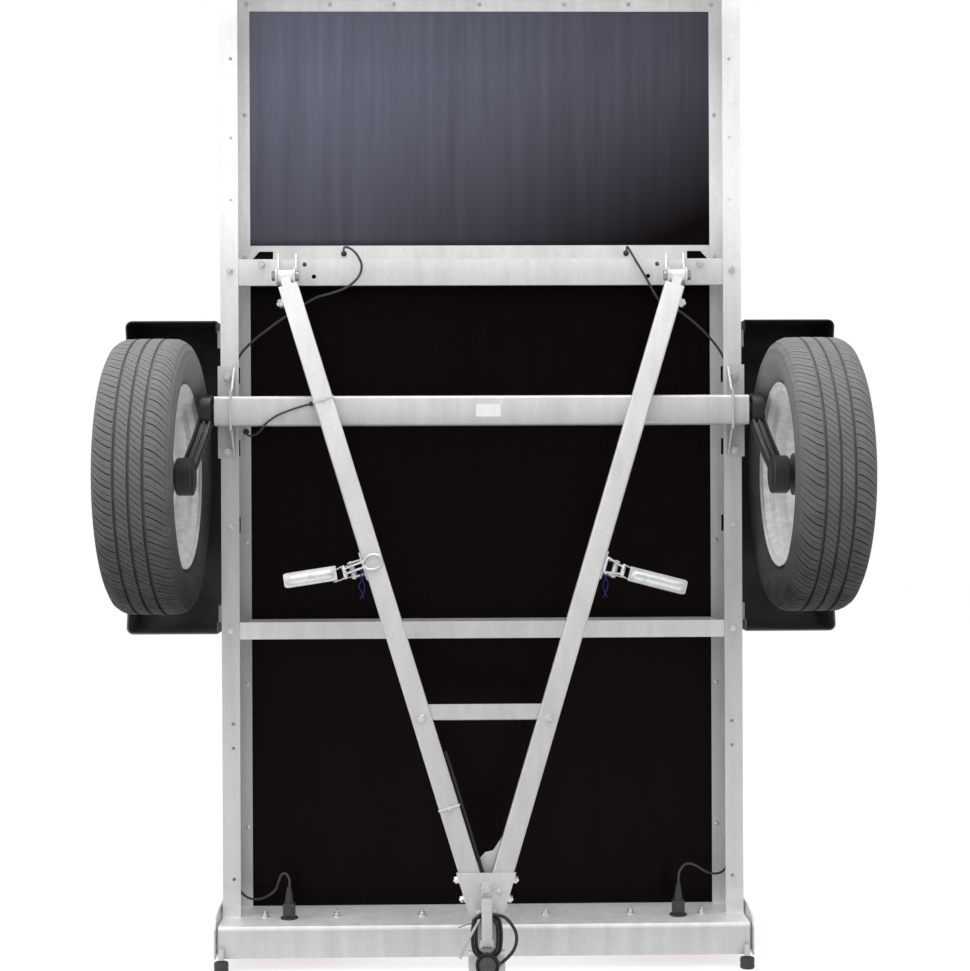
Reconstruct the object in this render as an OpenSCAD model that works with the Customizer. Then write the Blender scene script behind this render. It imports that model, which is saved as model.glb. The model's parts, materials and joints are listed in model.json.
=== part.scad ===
// Folding-drawbar utility trailer, stood upright on its rear end.
// X runs across the trailer, the underside faces -Y, Z points from the rear end up to the front end.
// The origin is on the ground below the middle of the outline.

/* [Frame] */
// Outside width over the two rails
frame_w = 1075; // [1000:5:1150]
// Height of the front beam above the ground
stand_h = 2040; // [1960:10:2140]
// Depth of the rails, from the underside to the floor
rail_d = 90; // [88:1:92]
// Thickness of the frame sheet
sheet = 2; // [1.5:0.25:2.5]

/* [Cargo box] */
// Height of the side walls above the floor
wall_h = 300.9; // [240:0.1:340]
// Thickness of the plywood floor
floor_t = 9; // [6:1:12]

/* [Running gear] */
// Outside diameter of the tyres
tyre_d = 547; // [530:1:550]
// Width of the tyres
tyre_w = 148; // [140:2:150]
// Track, between the middles of the tyres
track = 1302; // [1296:2:1310]
// Toe angle of the unloaded wheels
toe = 1.7; // [0:0.1:2]
// Side of the square axle tube
axle_side = 60; // [56:1:60]
// Height of the axle tube's middle above the ground
axle_z = 1130; // [1126:1:1134]

/* [Drawbar] */
// Side of the square drawbar tubes
arm_side = 40; // [36:1:40]
// Half the distance between the two drawbar hinges
hinge_x = 400; // [398:1:402]
// Height of the drawbar hinges above the ground
hinge_z = 1405; // [1403:1:1407]
// Angle of each tube to the middle line
splay = 17.14; // [17:0.02:17.2]
// Angle by which the stored drawbar leans off the frame
lean = 9.65; // [9.6:0.05:10]

/* [Hidden] */
$fn = 48;

zinc = "gainsboro";
zinc_dark = "darkgray";
black = "#1c1c1e";
cable_grey = "dimgray";

half_w = frame_w / 2;
run_gap = 0.08;            // radial clearance of a running fit

// rails and beams
shelf_z = 90;              // top of the light beam, on which the rails stand
rail_near_w = 37;          // flange nearest the underside
rail_far_w = 52;           // flange that carries the floor
rail_bolt_x = half_w - 19.5;
rail_bolt_r = 3.5;
rail_bolt_zs = [1420.5, 895, 680];
plate_bolt_x = half_w - 14.5;
plate_bolt_r = 4.5;
plate_bolt_zs = [1202, 1049];
cross_bolt = [452, 1434];
cross_bolt_r = 4;
bolt_play = 0.3;           // radial clearance of a bolt in its hole
stud_xs = [451, 303, 128];
hole_zs = [168, 438, 488, 1567, 1695, 1858];
slot_zs = [896, 1058, 1211];
slot_len = 34;
beam_front_y = -80;        // face of the light beam
beam_foot = 25.5;          // its lower edge, and the top of the rubber feet under it
cross_near = [1391, 1445]; // crossmember, heights of its near flange
cross_far_top = 1484;
rear_cross = [662, 697];
cross_end = half_w - rail_near_w - 0.5;
tab_end = half_w - 8;

// axle and wheels
axle_y = -34;
axle_end = half_w + 5.5;
hub_y = -125;
hub_z = axle_z - 133;
tyre_r = tyre_d / 2;
wheel_u = track / 2;       // middle plane of a wheel
spindle_r = 17;
bolt_circle_r = 50;        // four wheel bolts on a 100 mm circle

// fenders
fender_z = [671, 1321];
fender_y = [30, 240];
fender_x = [half_w + 10.5, half_w + 200.5];
fender_r = 110;
skin = 3;

// drawbar
hinge_y = -45;
arm_start = 24;            // distance from hinge axis to the tube's end
arm_end = 1279;
arm_wall = 3;
pin_r = 6;
apex_bolts = [[0, -1221, 5], [24, -1225, 3], [14, -1266, 3], [-14, -1266, 3]]; // x, height, shank radius
flange_bolt_ws = [-1204, -1240];
flange_bolt_r = 4;
tube_bolt_r = 4;
tube_bolt_s = 938;
neck_bolt_s = 53;
latch_s = 618;             // distance of the latches along the tubes
plane_tan = tan(splay);
arm_half = arm_side / 2;
arm_half_x = arm_half / cos(splay);

// latches, in the frame of a tube: x outboard, z along the tube
latch_pivot = [44, 0];
bail_pivot = [60, -9];
latch_pin_r = 3;
plate_x = [[78, 181], [76, 191]]; // pressed plates of the latch handles, left and right
plate_tilt = [8.5, 2.5];   // tilt of the plates, left and right

// coupling, in the plane of the drawbar
bracket_top = -1191;
bracket_end = -1282;
lever_pivot = [-42, -1322];
lever_top = -1238;
ball_r = 25;
ball_w = -1368;
coil_w = -1308;
plug_w = -1358;

// tailgate
gate_half = 500;
gate_pivot = [99, 56];
gate_pin_r = 5;
gate_latch_x = 455;
gate_latch_y = 330;

// cords: routes are hand-laid points
lead_d = 5;
thin_d = 4;
plug_cable_d = 6.5;
left_lamp_route = [[-399, -15, 156], [-399, -14, 168], [-404, -10, 178], [-411, -5, 181], [-418, 2, 175],
    [-424, 10, 160], [-430, 18, 144], [-440, 25, 133], [-452, 30, 125], [-466, 34, 120],
    [-480, 36, 119], [-494, 38, 124], [-505, 40, 134], [-513, 42, 150], [-518, 44, 172]];
right_lamp_route = [[401, -15, 156], [401, -14, 168], [404, -10, 180], [413, -3, 190], [425, 6, 192],
    [440, 14, 186], [455, 20, 176], [470, 26, 168], [486, 32, 165], [500, 36, 169], [510, 40, 180],
    [517, 44, 198]];
left_front_route = [[-288, 84, 1467], [-287, 60, 1472], [-283, 30, 1473], [-273, 6, 1469],
    [-260, -9, 1458], [-250, -13, 1443], [-246, -13, 1427], [-252, -12, 1408], [-268, -10, 1392],
    [-288, -6, 1381], [-312, 2, 1374], [-340, 9, 1367], [-370, 15, 1351], [-405, 21, 1329],
    [-440, 27, 1305], [-472, 33, 1281], [-498, 38, 1256], [-514, 42, 1228]];
right_front_route = [[308, 84, 1467], [307, 60, 1472], [305, 32, 1473], [306, 6, 1466],
    [313, -8, 1450], [324, -12, 1430], [336, -12, 1410], [350, -10, 1385], [366, -4, 1360],
    [386, 6, 1348], [411, 14, 1338], [447, 26, 1312], [476, 34, 1285], [498, 38, 1258], [512, 42, 1232]];
axle_route = [[-495, 78, 1092], [-490, 50, 1086], [-482, 20, 1082], [-472, -10, 1082], [-460, -38, 1084],
    [-448, -62, 1092], [-436, -68, 1106], [-416, -68, 1120], [-392, -68, 1130], [-368, -68, 1138],
    [-350, -68, 1143]];
harness_route = [[-77.5, 0, -960], [-74, 2, -972], [-68, 4, -990], [-60, 5, -1016], [-51, 5, -1046],
    [-40.5, 4, -1080], [-30.5, 3, -1112], [-21.5, 2, -1142], [-13.5, 2, -1168], [-8.5, 2, -1184],
    [-4, 2, -1204]];
plug_route = [[20, -40, -1276], [30, -43, -1274], [39, -46, -1279], [48, -49, -1288], [54, -51, -1299],
    [56, -52, -1311], [54, -53, -1324], [48, -54, -1336], [39, -54, -1346], [31, -54, -1353], [26, -54, -1357]];

// ---------------------------------------------------------------- helpers

module on_side(side) if (side > 0) children(); else mirror([1, 0, 0]) children();
module both_sides() for (side = [-1, 1]) on_side(side) children();

// a plan drawn as [y, z], drawn out along x
module along_x(x0, x1) translate([x0, 0, 0]) rotate([90, 0, 90]) linear_extrude(x1 - x0) children();
// a plan drawn as [x, z], drawn out along y
module along_y(y0, y1) translate([0, y1, 0]) rotate([90, 0, 0]) linear_extrude(y1 - y0) children();
module box(lo, hi) translate(lo) cube(hi - lo);
module rod_x(r, x0, x1) translate([x0, 0, 0]) rotate([0, 90, 0]) cylinder(r = r, h = x1 - x0);
module rod_y(r, y0, y1) translate([0, y1, 0]) rotate([90, 0, 0]) cylinder(r = r, h = y1 - y0);

module round_square(size, r) {
    for (i = [-1, 1], j = [-1, 1]) translate([i, j] * (size / 2 - r)) circle(r = r);
    square([size - 2 * r, size], center = true);
    square([size, size - 2 * r], center = true);
}

// hexagon head with washer and a shank behind it, facing -Y at the origin
module hex_bolt(across, head, shank_r, shank) {
    rotate([90, 0, 0]) {
        cylinder(d = across * 1.35, h = 1.5);
        translate([0, 0, 1.5]) cylinder(d = across / cos(30), h = head, $fn = 6);
        translate([0, 0, -shank]) cylinder(r = shank_r, h = shank);
    }
}

// a cable swept through hand-laid points, one ring of corners at each
function unit(v) = v / norm(v);
module cable(pts, d, sides = 8) {
    n = len(pts);
    dirs = [for (i = [0:n - 1]) unit(pts[min(i + 1, n - 1)] - pts[max(i - 1, 0)])];
    up = [0.31, 0.24, 0.92];
    rings = [for (i = [0:n - 1]) let(u = unit(cross(dirs[i], up)), v = cross(dirs[i], u))
        for (k = [0:sides - 1]) pts[i] + d / 2 * (cos(360 * k / sides) * u + sin(360 * k / sides) * v)];
    skins = [for (i = [0:n - 2], k = [0:sides - 1], half = [0, 1]) let(m = (k + 1) % sides, at = i * sides)
        half == 0 ? [at + k, at + m, at + sides + m] : [at + k, at + sides + m, at + sides + k]];
    ends = [[for (k = [sides - 1:-1:0]) k], [for (k = [0:sides - 1]) (n - 1) * sides + k]];
    polyhedron(rings, concat(skins, ends), convexity = 6);
}

// the leaning plane of the drawbar, and one tube of it
module drawbar_plane() translate([0, hinge_y, hinge_z]) rotate([-lean, 0, 0]) children();
module tube_frame() translate([hinge_x, 0, 0]) rotate([0, splay, 0]) children();
module latch_frame(side) drawbar_plane() on_side(side) tube_frame() translate([0, 0, -latch_s]) children();

// ---------------------------------------------------------------- frame

// clearance holes of the bolts that go through the frame's near faces
module bolt_holes() {
    for (z = rail_bolt_zs) translate([rail_bolt_x, 0, z]) rod_y(rail_bolt_r + bolt_play, -5, 5);
    for (z = plate_bolt_zs) translate([plate_bolt_x, 0, z]) rod_y(plate_bolt_r + bolt_play, -5, 5);
    translate([cross_bolt[0], 0, cross_bolt[1]]) rod_y(cross_bolt_r + bolt_play, -5, 5);
}

module rail() difference() {
    union() {
        box([half_w - rail_near_w, 0, shelf_z], [half_w, sheet, stand_h - sheet]);
        box([half_w - sheet, 0, shelf_z], [half_w, rail_d, stand_h - sheet]);
        box([half_w - rail_far_w, rail_d - sheet, shelf_z], [half_w, rail_d, stand_h - sheet]);
    }
    for (z = hole_zs) translate([half_w - 23, 0, z]) rod_y(3.5, -1, sheet + 1);
    for (z = slot_zs) translate([half_w - 29.5, rail_d - sheet - 1, z - slot_len / 2])
        cube([5, sheet + 2, slot_len]);
    bolt_holes();
}

module front_beam() color(zinc) {
    box([-half_w, 0, stand_h - sheet], [half_w, rail_d, stand_h]);
    box([-cross_end, 0, stand_h - 39], [cross_end, sheet, stand_h - sheet]);
    far_end = half_w - rail_far_w;
    box([-far_end, rail_d - sheet, stand_h - 61], [far_end, rail_d, stand_h - sheet]);
}

module drawbar_crossmember() color(zinc) difference() {
    union() {
        box([-cross_end, 0, cross_near[0]], [cross_end, sheet, cross_near[1]]);
        box([-cross_end, 0, cross_near[0]], [cross_end, 12, cross_near[0] + sheet]);
        box([-cross_end, 0, cross_near[1] - sheet], [cross_end, rail_d - sheet, cross_near[1]]);
        box([-half_w + rail_far_w, rail_d - 2 * sheet, cross_near[1] - sheet],
            [half_w - rail_far_w, rail_d, cross_far_top]);
        both_sides() box([cross_end - 10, sheet, cross_near[0]], [tab_end, 2 * sheet, cross_near[1]]);
    }
    for (side = [-1, 1]) {
        for (p = [[364, 1434], [345, 1409]]) translate([side * p[0], 0, p[1]]) rod_y(4.5, -1, sheet + 1);
        along_y(rail_d - 2 * sheet - 1, rail_d + 1) polygon([[side * 437, cross_near[1]],
            [side * 490, cross_near[1]], [side * 466, 1472], [side * 437, 1472]]);
        on_side(side) bolt_holes();
    }
}

module rear_crossmember() color(zinc) difference() {
    union() {
        box([-cross_end, 0, rear_cross[0]], [cross_end, sheet, rear_cross[1]]);
        for (z = [rear_cross[0], rear_cross[1] - sheet])
            box([-half_w + rail_far_w, 0, z], [half_w - rail_far_w, rail_d, z + sheet]);
        both_sides() box([cross_end - 10, sheet, rear_cross[0]], [tab_end, 2 * sheet, rear_cross[1]]);
    }
    both_sides() bolt_holes();
}

module light_beam() color(zinc) difference() {
    union() {
        box([-half_w, beam_front_y, shelf_z - sheet], [half_w, rail_d, shelf_z]);
        box([-half_w, beam_front_y, beam_foot], [half_w, beam_front_y + sheet, shelf_z]);
        box([-half_w, beam_front_y, beam_foot], [half_w, beam_front_y + 16, beam_foot + sheet]);
        box([-half_w, rail_d - sheet, 44], [half_w, rail_d, shelf_z]);
    }
    both_sides() translate([400, -15, shelf_z - sheet - 1]) cylinder(r = 12, h = sheet + 2);
}

module beam_end_plates() color(zinc) both_sides() {
    along_x(half_w + 5, half_w + 8) polygon([[-84, 25], [-84, 90], [-66, 104], [-10, 113], [90, 113], [90, 25]]);
    box([half_w, 30, 96], [half_w + 5, 60, 108]);
    translate([half_w - 7.5, -90, beam_foot]) cylinder(r = 5.5, h = 22);
    box([half_w - 10.5, -90, 29], [half_w - 4.5, beam_front_y, 45]);
    box([half_w, -66, 32], [half_w + 5, -56, 80]);
}

module floor_panel() color(black) box([-half_w + 4.5, rail_d, shelf_z + 2], [half_w - 4.5, rail_d + floor_t, stand_h - 4]);

// side wall with its folded top edge, and the square post at its rear end
module side_wall() {
    wall_y = rail_d + floor_t + 0.5;
    top_y = wall_y + wall_h - 0.5;
    box([half_w - sheet, wall_y, shelf_z + 4], [half_w, top_y, stand_h - sheet]);
    box([half_w, top_y - 22, shelf_z + 4], [half_w + 14, top_y, stand_h - sheet]);
    difference() {
        box([half_w - 32, wall_y, 60], [half_w, top_y, shelf_z + 4]);
        box([half_w - 30, wall_y - 1, 62], [half_w - 2, top_y + 1, shelf_z + 2]);
    }
    translate([half_w - 16, top_y - 20, 22]) cylinder(r = 8, h = 38);
}

module front_wall() color(zinc) {
    wall_y = rail_d + floor_t + 0.5;
    top_y = wall_y + wall_h - 0.5;
    box([-half_w, wall_y, stand_h - sheet], [half_w, top_y, stand_h]);
    box([-half_w + 4, top_y - 2, stand_h - 22], [half_w - 4, top_y, stand_h - sheet]);
}

// two lamps inside the light beam, lens downwards
module tail_lamps() both_sides() translate([385, 5, 0]) {
    color(black) box([-112, -45, 44], [112, 45, 84]);
    color("firebrick") box([-110, -43, 32], [110, 43, 44]);
}

module lamp_plugs() color(cable_grey) both_sides() translate([400, -15, 84]) {
    cylinder(r = 11.5, h = 6);
    translate([0, 0, 6]) cylinder(r = 18, h = 4);
    translate([-12, -12, 10]) cube([24, 24, 28]);
    translate([0, 0, 38]) cylinder(r1 = 9, r2 = 4, h = 34);
}

module rubber_feet() color(black) both_sides() {
    translate([half_w - 7.5, -90, 0]) cylinder(r = 14.5, h = beam_foot);
    translate([half_w - 16, rail_d + floor_t + wall_h - 20, 0]) cylinder(r = 14.5, h = 22);
}

module floor_screws() color("silver") {
    for (x = [-490, -315, -180, 0, 180, 315, 490])
        translate([x, rail_d - sheet, stand_h - 47]) rod_y(4.5, -1.5, 0);
    both_sides() for (z = [260, 560, 860, 1160, 1460, 1760])
        translate([half_w - 42, rail_d - sheet, z]) rod_y(4.5, -1.5, 0);
}

module frame_bolts() color("silver") {
    both_sides() {
        for (z = rail_bolt_zs) translate([rail_bolt_x, 0, z]) hex_bolt(11, 5, rail_bolt_r, 12);
        for (z = plate_bolt_zs) translate([plate_bolt_x, -4, z]) hex_bolt(13, 7, plate_bolt_r, 18);
        translate([cross_bolt[0], 0, cross_bolt[1]]) hex_bolt(12, 6, cross_bolt_r, 12);
        for (x = stud_xs) translate([x, 5, shelf_z]) {
            cylinder(r = 9, h = 1.5);
            translate([0, 0, 1.5]) cylinder(d = 14, h = 6, $fn = 6);
            cylinder(r = 3.5, h = 22);
        }
    }
}

// ---------------------------------------------------------------- running gear

module axle_tube() color(zinc) translate([0, axle_y, axle_z]) along_x(-axle_end, axle_end) difference() {
    round_square(axle_side, 7);
    round_square(axle_side - 7, 5);
}

module axle_brackets() color(zinc) both_sides() {
    difference() {
        box([half_w - 30.5, -4, 1035], [half_w + 5.5, 0, 1225]);
        bolt_holes();
    }
    along_x(half_w - 30.5, half_w - 26.5) difference() {
        polygon([[-4, 1038], [-4, 1222], [-50, 1174], [-72, 1168], [-72, 1092], [-50, 1086]]);
        translate([axle_y, axle_z]) round_square(axle_side + 0.2, 7);
    }
}

module fender_plan(inset, foot) intersection() {
    union() {
        lo = fender_z[0] + inset;
        hi = fender_z[1] - inset;
        roof = fender_y[1] - inset;
        r = fender_r - inset;
        for (z = [lo + r, hi - r]) translate([roof - r, z]) circle(r = r, $fn = 96);
        translate([foot, lo]) square([roof - r - foot, hi - lo]);
        translate([foot, lo + r]) square([roof - foot, hi - lo - 2 * r]);
    }
    translate([foot, 0]) square([fender_y[1], 2 * fender_z[1]]);
}

module fender() {
    along_x(fender_x[0], fender_x[1]) difference() {
        fender_plan(0, fender_y[0]);
        fender_plan(skin, fender_y[0] - 1);
    }
    along_x(fender_x[1] - skin, fender_x[1]) difference() {
        fender_plan(0, fender_y[0]);
        translate([-60, 995]) circle(r = 255, $fn = 96);
        translate([fender_y[0] - 1, 995 - 238]) square([2, 476]);
    }
    along_x(fender_x[0], fender_x[0] + skin) difference() {
        fender_plan(0, fender_y[0]);
        fender_plan(25, fender_y[0] - 1);
    }
}

module fender_brackets() color(zinc_dark) both_sides() for (z = [1283, 712])
    box([half_w, 34, z - 18], [fender_x[0], 84, z + 18]);

// trailing arm with its torsion shaft and the wheel spindle
module swing_arm() {
    hull() {
        translate([0, axle_y, axle_z]) rod_x(32, half_w + 13, half_w + 35, $fn = 32);
        translate([0, hub_y, hub_z]) rod_x(30, half_w + 38, half_w + 72, $fn = 32);
    }
    translate([0, hub_y, hub_z]) rod_x(38, half_w + 36, half_w + 73);
    wheel_place() rod_x(spindle_r, half_w + 66, half_w + 150);
    translate([0, axle_y, axle_z]) {
        rod_x(34, half_w + 11, half_w + 36);
        rod_x(15, 330, half_w + 14);
    }
}

// the wheel's own frame, turned by its toe about the wheel's middle
module wheel_place() translate([wheel_u, hub_y, hub_z]) rotate([0, 0, toe]) translate([-wheel_u, 0, 0]) children();
module bolt_ring() for (k = [0:3]) rotate([45 + 90 * k, 0, 0]) translate([0, 0, bolt_circle_r]) children();

module hub() wheel_place() difference() {
    union() {
        rod_x(42, wheel_u - 31, wheel_u + 8);
        rod_x(66, wheel_u + 3, wheel_u + 12);
        rod_x(29, wheel_u + 8, wheel_u + 52);
    }
    rod_x(spindle_r + run_gap, wheel_u - 32, wheel_u + 46);
    bolt_ring() rod_x(6, wheel_u, wheel_u + 14);
}

// section of the rim as [radius, distance from the wheel's middle plane]
rim_line = [[184, -61], [184, -56], [170, -54], [167, -42], [150, -32], [150, -8], [166, 6], [167, 42],
    [170, 54], [184, 56], [184, 61]];
rim_in = [[178, 60], [170, 59], [163, 50], [162.5, 10], [146, -6], [146, -35], [163, -46], [170, -59],
    [178, -60]];
module turned() rotate([0, 90, 0]) rotate_extrude($fn = 96) children();

module rim() wheel_place() difference() {
    translate([wheel_u, 0, 0]) turned() {
        polygon(concat(rim_line, rim_in));
        polygon([[30, 16], [72, 16], [84, 20], [106, 26], [140, 6], [149, -6], [149, -14], [136, -2],
            [106, 20], [86, 15.5], [74, 12], [30, 12]]);
    }
    bolt_ring() rod_x(6.5, wheel_u + 10, wheel_u + 18);
    for (k = [0:11]) rotate([30 * k, 0, 0]) translate([0, 0, 122]) rod_x(8, wheel_u - 4, wheel_u + 30);
}

// section of the tyre, one half of it, from the bead out to the crown
half_tyre = tyre_w / 2;
tyre_side = [[170.5, 54], [187, 55.5], [192, 63], [206, half_tyre - 3], [230, half_tyre],
    [254, half_tyre - 4], [tyre_r - 7.5, half_tyre - 13], [tyre_r, half_tyre - 24]];
tyre_inside = [[tyre_r - 15, half_tyre - 30], [252, half_tyre - 14], [230, half_tyre - 9],
    [208, half_tyre - 12], [192, 50], [170.5, 42]];
module tyre() wheel_place() translate([wheel_u, 0, 0]) turned() difference() {
    polygon(concat(tyre_side, [for (i = [len(tyre_side) - 1:-1:0]) [tyre_side[i][0], -tyre_side[i][1]]],
        [for (i = [len(tyre_inside) - 1:-1:0]) [tyre_inside[i][0], -tyre_inside[i][1]]], tyre_inside));
    for (u = [-27, 0, 27]) translate([tyre_r - 7, u - 2.5]) square([10, 5]);
}

module wheel_bolts() wheel_place() bolt_ring() {
    rod_x(5.95, wheel_u + 3, wheel_u + 16);
    rod_x(10, wheel_u + 16, wheel_u + 18);
    translate([wheel_u + 18, 0, 0]) rotate([0, 90, 0]) cylinder(d = 19, h = 9, $fn = 6);
}

// ---------------------------------------------------------------- drawbar

// lugs on the crossmember that hold the hinge pins
module hinge_lugs() color(zinc) both_sides() {
    for (x = [415, 379]) along_x(x, x + 4) difference() {
        union() {
            translate([hinge_y, hinge_z]) circle(r = 17);
            polygon([[0, hinge_z - 14], [0, 1456], [-9, 1456], [-16, hinge_z + 24], [-24, hinge_z + 14],
                [hinge_y, hinge_z + 17], [hinge_y, hinge_z - 17]]);
        }
        translate([hinge_y, hinge_z]) circle(r = pin_r);
    }
    box([379, -3, 1394], [419, 0, 1443]);
}

module hinge_pins() color("silver") both_sides() {
    translate([0, hinge_y, hinge_z]) {
        rod_x(pin_r, 376, 424);
        translate([419, 0, 0]) rotate([0, 90, 0]) cylinder(d = 20, h = 8, $fn = 6);
        rod_x(10, 372, 379);
    }
    translate([0, gate_pivot[0], gate_pivot[1]]) rod_x(gate_pin_r, 310, 390);
    for (x = [310, 366]) along_x(x, x + 24) difference() {
        union() {
            translate(gate_pivot) circle(r = 9);
            polygon([[rail_d, 47], [rail_d, 86], [94, 86], [gate_pivot[0] + 8, 60], [gate_pivot[0], 47]]);
        }
        translate(gate_pivot) circle(r = gate_pin_r);
    }
}

module latch_hooks() color("silver") both_sides() {
    box([248, -3, 2003], [276, 0, 2033]);
    box([256, -14, 2010], [268, -3, 2026]);
}

module drawbar_arm(side) color(zinc) drawbar_plane() on_side(side) difference() {
    union() {
        rod_x(13, hinge_x - 16, hinge_x + 14);
        tube_frame() {
            translate([0, 0, -arm_end]) linear_extrude(arm_end - arm_start) difference() {
                round_square(arm_side, 4);
                round_square(arm_side - 2 * arm_wall, 2);
            }
            translate([-arm_half + 1, -arm_half + 1, -arm_start - 4]) cube([arm_side - 2, arm_side - 2, 4]);
            translate([-8, -12, -arm_start]) cube([19, 24, arm_start - 6]);
        }
    }
    rod_x(pin_r + run_gap, hinge_x - 20, hinge_x + 20);
    tube_frame() {
        translate([0, 0, -tube_bolt_s]) rod_y(tube_bolt_r + bolt_play, -arm_half - 1, 0);
        translate([0, 0, -neck_bolt_s]) rod_x(tube_bolt_r + bolt_play, 0, arm_half + 1);
    }
}

module drawbar_brace() color(zinc) drawbar_plane() {
    w = -884;
    h = 30;
    top = hinge_x + (w + h / 2) * plane_tan - arm_half_x - 0.3;
    foot = hinge_x + (w - h / 2) * plane_tan - arm_half_x - 0.3;
    difference() {
        along_y(-15, 15) polygon([[-top, w + h / 2], [top, w + h / 2], [foot, w - h / 2], [-foot, w - h / 2]]);
        box([-200, -12.5, w - 12.5], [200, 12.5, w + 12.5]);
    }
}

module flange_bolt_place(w) translate([hinge_x + arm_half_x + 3.9 + w * plane_tan, -2, w])
    rotate([0, splay, 0]) children();

// plate over the tubes' ends with its two bent sides, and the plate between the tubes behind it
module apex_bracket() color(zinc) drawbar_plane() {
    edge = hinge_x + arm_half_x + 0.4;
    out_top = edge + bracket_top * plane_tan;
    out_end = edge + bracket_end * plane_tan;
    t = 3.5;
    difference() {
        union() {
            along_y(-arm_half - 4, -arm_half) polygon([[-out_top - t, bracket_top], [out_top + t, bracket_top],
                [out_end + t, bracket_end], [-out_end - t, bracket_end]]);
            both_sides() along_y(-arm_half - 4, 14) polygon([[out_top, bracket_top],
                [out_top + t, bracket_top], [out_end + t, bracket_end], [out_end, bracket_end]]);
        }
        for (b = apex_bolts) translate([b[0], 0, b[1]]) rod_y(b[2] + bolt_play, -arm_half - 5, -arm_half + 1);
        both_sides() for (w = flange_bolt_ws) flange_bolt_place(w) rod_x(flange_bolt_r + bolt_play, -5, 1);
    }
    in_at = hinge_x - arm_half_x - 0.4;
    along_y(10, 13) polygon([[-in_at + 1173 * plane_tan, -1173], [-12, -1165], [-1, -1153], [14, -1150],
        [in_at - 1124 * plane_tan, -1124], [in_at - 1206 * plane_tan, -1206], [-in_at + 1206 * plane_tan, -1206]]);
}

// ball coupling: shank, rounded head with the ball cup, ears and pin of the handle
module coupling_head() color(zinc) drawbar_plane() difference() {
    union() {
        box([-21, -20, -1350], [21, 20, -1231]);
        translate([0, 0, ball_w]) rod_y(35, -22, 24);
        box([-35, -22, ball_w], [35, 24, ball_w + 30]);
        both_sides() box([9, -48, lever_pivot[1] - 7], [12.5, -21, lever_pivot[1] + 7]);
        translate([0, lever_pivot[0], lever_pivot[1]]) rod_x(3, -12, 12);
    }
    translate([0, 14, ball_w]) sphere(r = ball_r);
    translate([0, 0, ball_w]) rod_y(ball_r - 2, 14, 30);
    box([-17, -14, -1300], [17, 15, -1230]);
}

module coupling_handle() color("silver") drawbar_plane() difference() {
    union() {
        translate([0, lever_pivot[0], lever_pivot[1]]) rod_x(7, -8.5, 8.5);
        box([-8.5, -56, lever_pivot[1] - 4], [8.5, lever_pivot[0], lever_pivot[1] + 30]);
        box([-10, -58, lever_pivot[1] - 4], [10, -53, lever_top]);
        both_sides() box([7, -58, lever_pivot[1] + 12], [10, -47, lever_top]);
    }
    translate([0, lever_pivot[0], lever_pivot[1]]) rod_x(3 + run_gap, -20, 20);
}

module drawbar_bolts() color("silver") drawbar_plane() {
    front = -arm_half - 4;
    across = [17, 8, 9, 9];
    translate([0, front, apex_bolts[0][1]]) box([-10, -2, -13], [10, 0, 13]);
    for (i = [0:3]) translate([apex_bolts[i][0], i == 0 ? front - 2 : front, apex_bolts[i][1]])
        hex_bolt(across[i], i == 0 ? 8 : 3, apex_bolts[i][2], i == 0 ? 6 : 4);
    both_sides() {
        for (w = flange_bolt_ws) flange_bolt_place(w) rotate([0, 0, 90]) hex_bolt(12, 6, flange_bolt_r, 3.6);
        tube_frame() {
            translate([0, -arm_half, -tube_bolt_s]) hex_bolt(13, 4, tube_bolt_r, 4);
            translate([arm_half, 0, -neck_bolt_s]) rotate([0, 0, 90]) hex_bolt(16, 8, tube_bolt_r, 4);
        }
    }
}

module latch_bases() color("silver") for (side = [-1, 1]) latch_frame(side) {
    difference() {
        union() {
            box([arm_half, -14, -28], [arm_half + 3, 14, 28]);
            for (z = [-16, 13]) box([arm_half + 3, -9, z], [latch_pivot[0] + 6, 9, z + 3]);
        }
        translate([latch_pivot[0], latch_pivot[1], -20]) cylinder(r = latch_pin_r, h = 40);
    }
    translate([latch_pivot[0], latch_pivot[1], -18]) cylinder(r = latch_pin_r, h = 36);
}

module latch_handle(side) color("silver") latch_frame(side) difference() {
    union() {
        translate([latch_pivot[0], latch_pivot[1], -12.5]) cylinder(r = 6, h = 25);
        ends = plate_x[side < 0 ? 0 : 1];
        reach = ends[1] - ends[0];
        box([latch_pivot[0], -1.5, -12.5], [ends[0], 1.5, 12.5]);
        translate([ends[0], 0, side < 0 ? 5 : 0]) rotate([0, -plate_tilt[side < 0 ? 0 : 1], 0]) {
            box([-3, -1.5, -14.5], [reach, 1.5, 14.5]);
            for (z = [-14.5, 12.5]) box([0, -1.5, z], [reach - 4, 7, z + 2]);
        }
        for (z = [-12.5, 10.5]) box([57, -13, z], [69, 1, z + 2]);
        translate([bail_pivot[0], bail_pivot[1], -12.5]) cylinder(r = 2, h = 25);
    }
    translate([latch_pivot[0], latch_pivot[1], -20]) cylinder(r = latch_pin_r + run_gap, h = 40);
}

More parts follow.
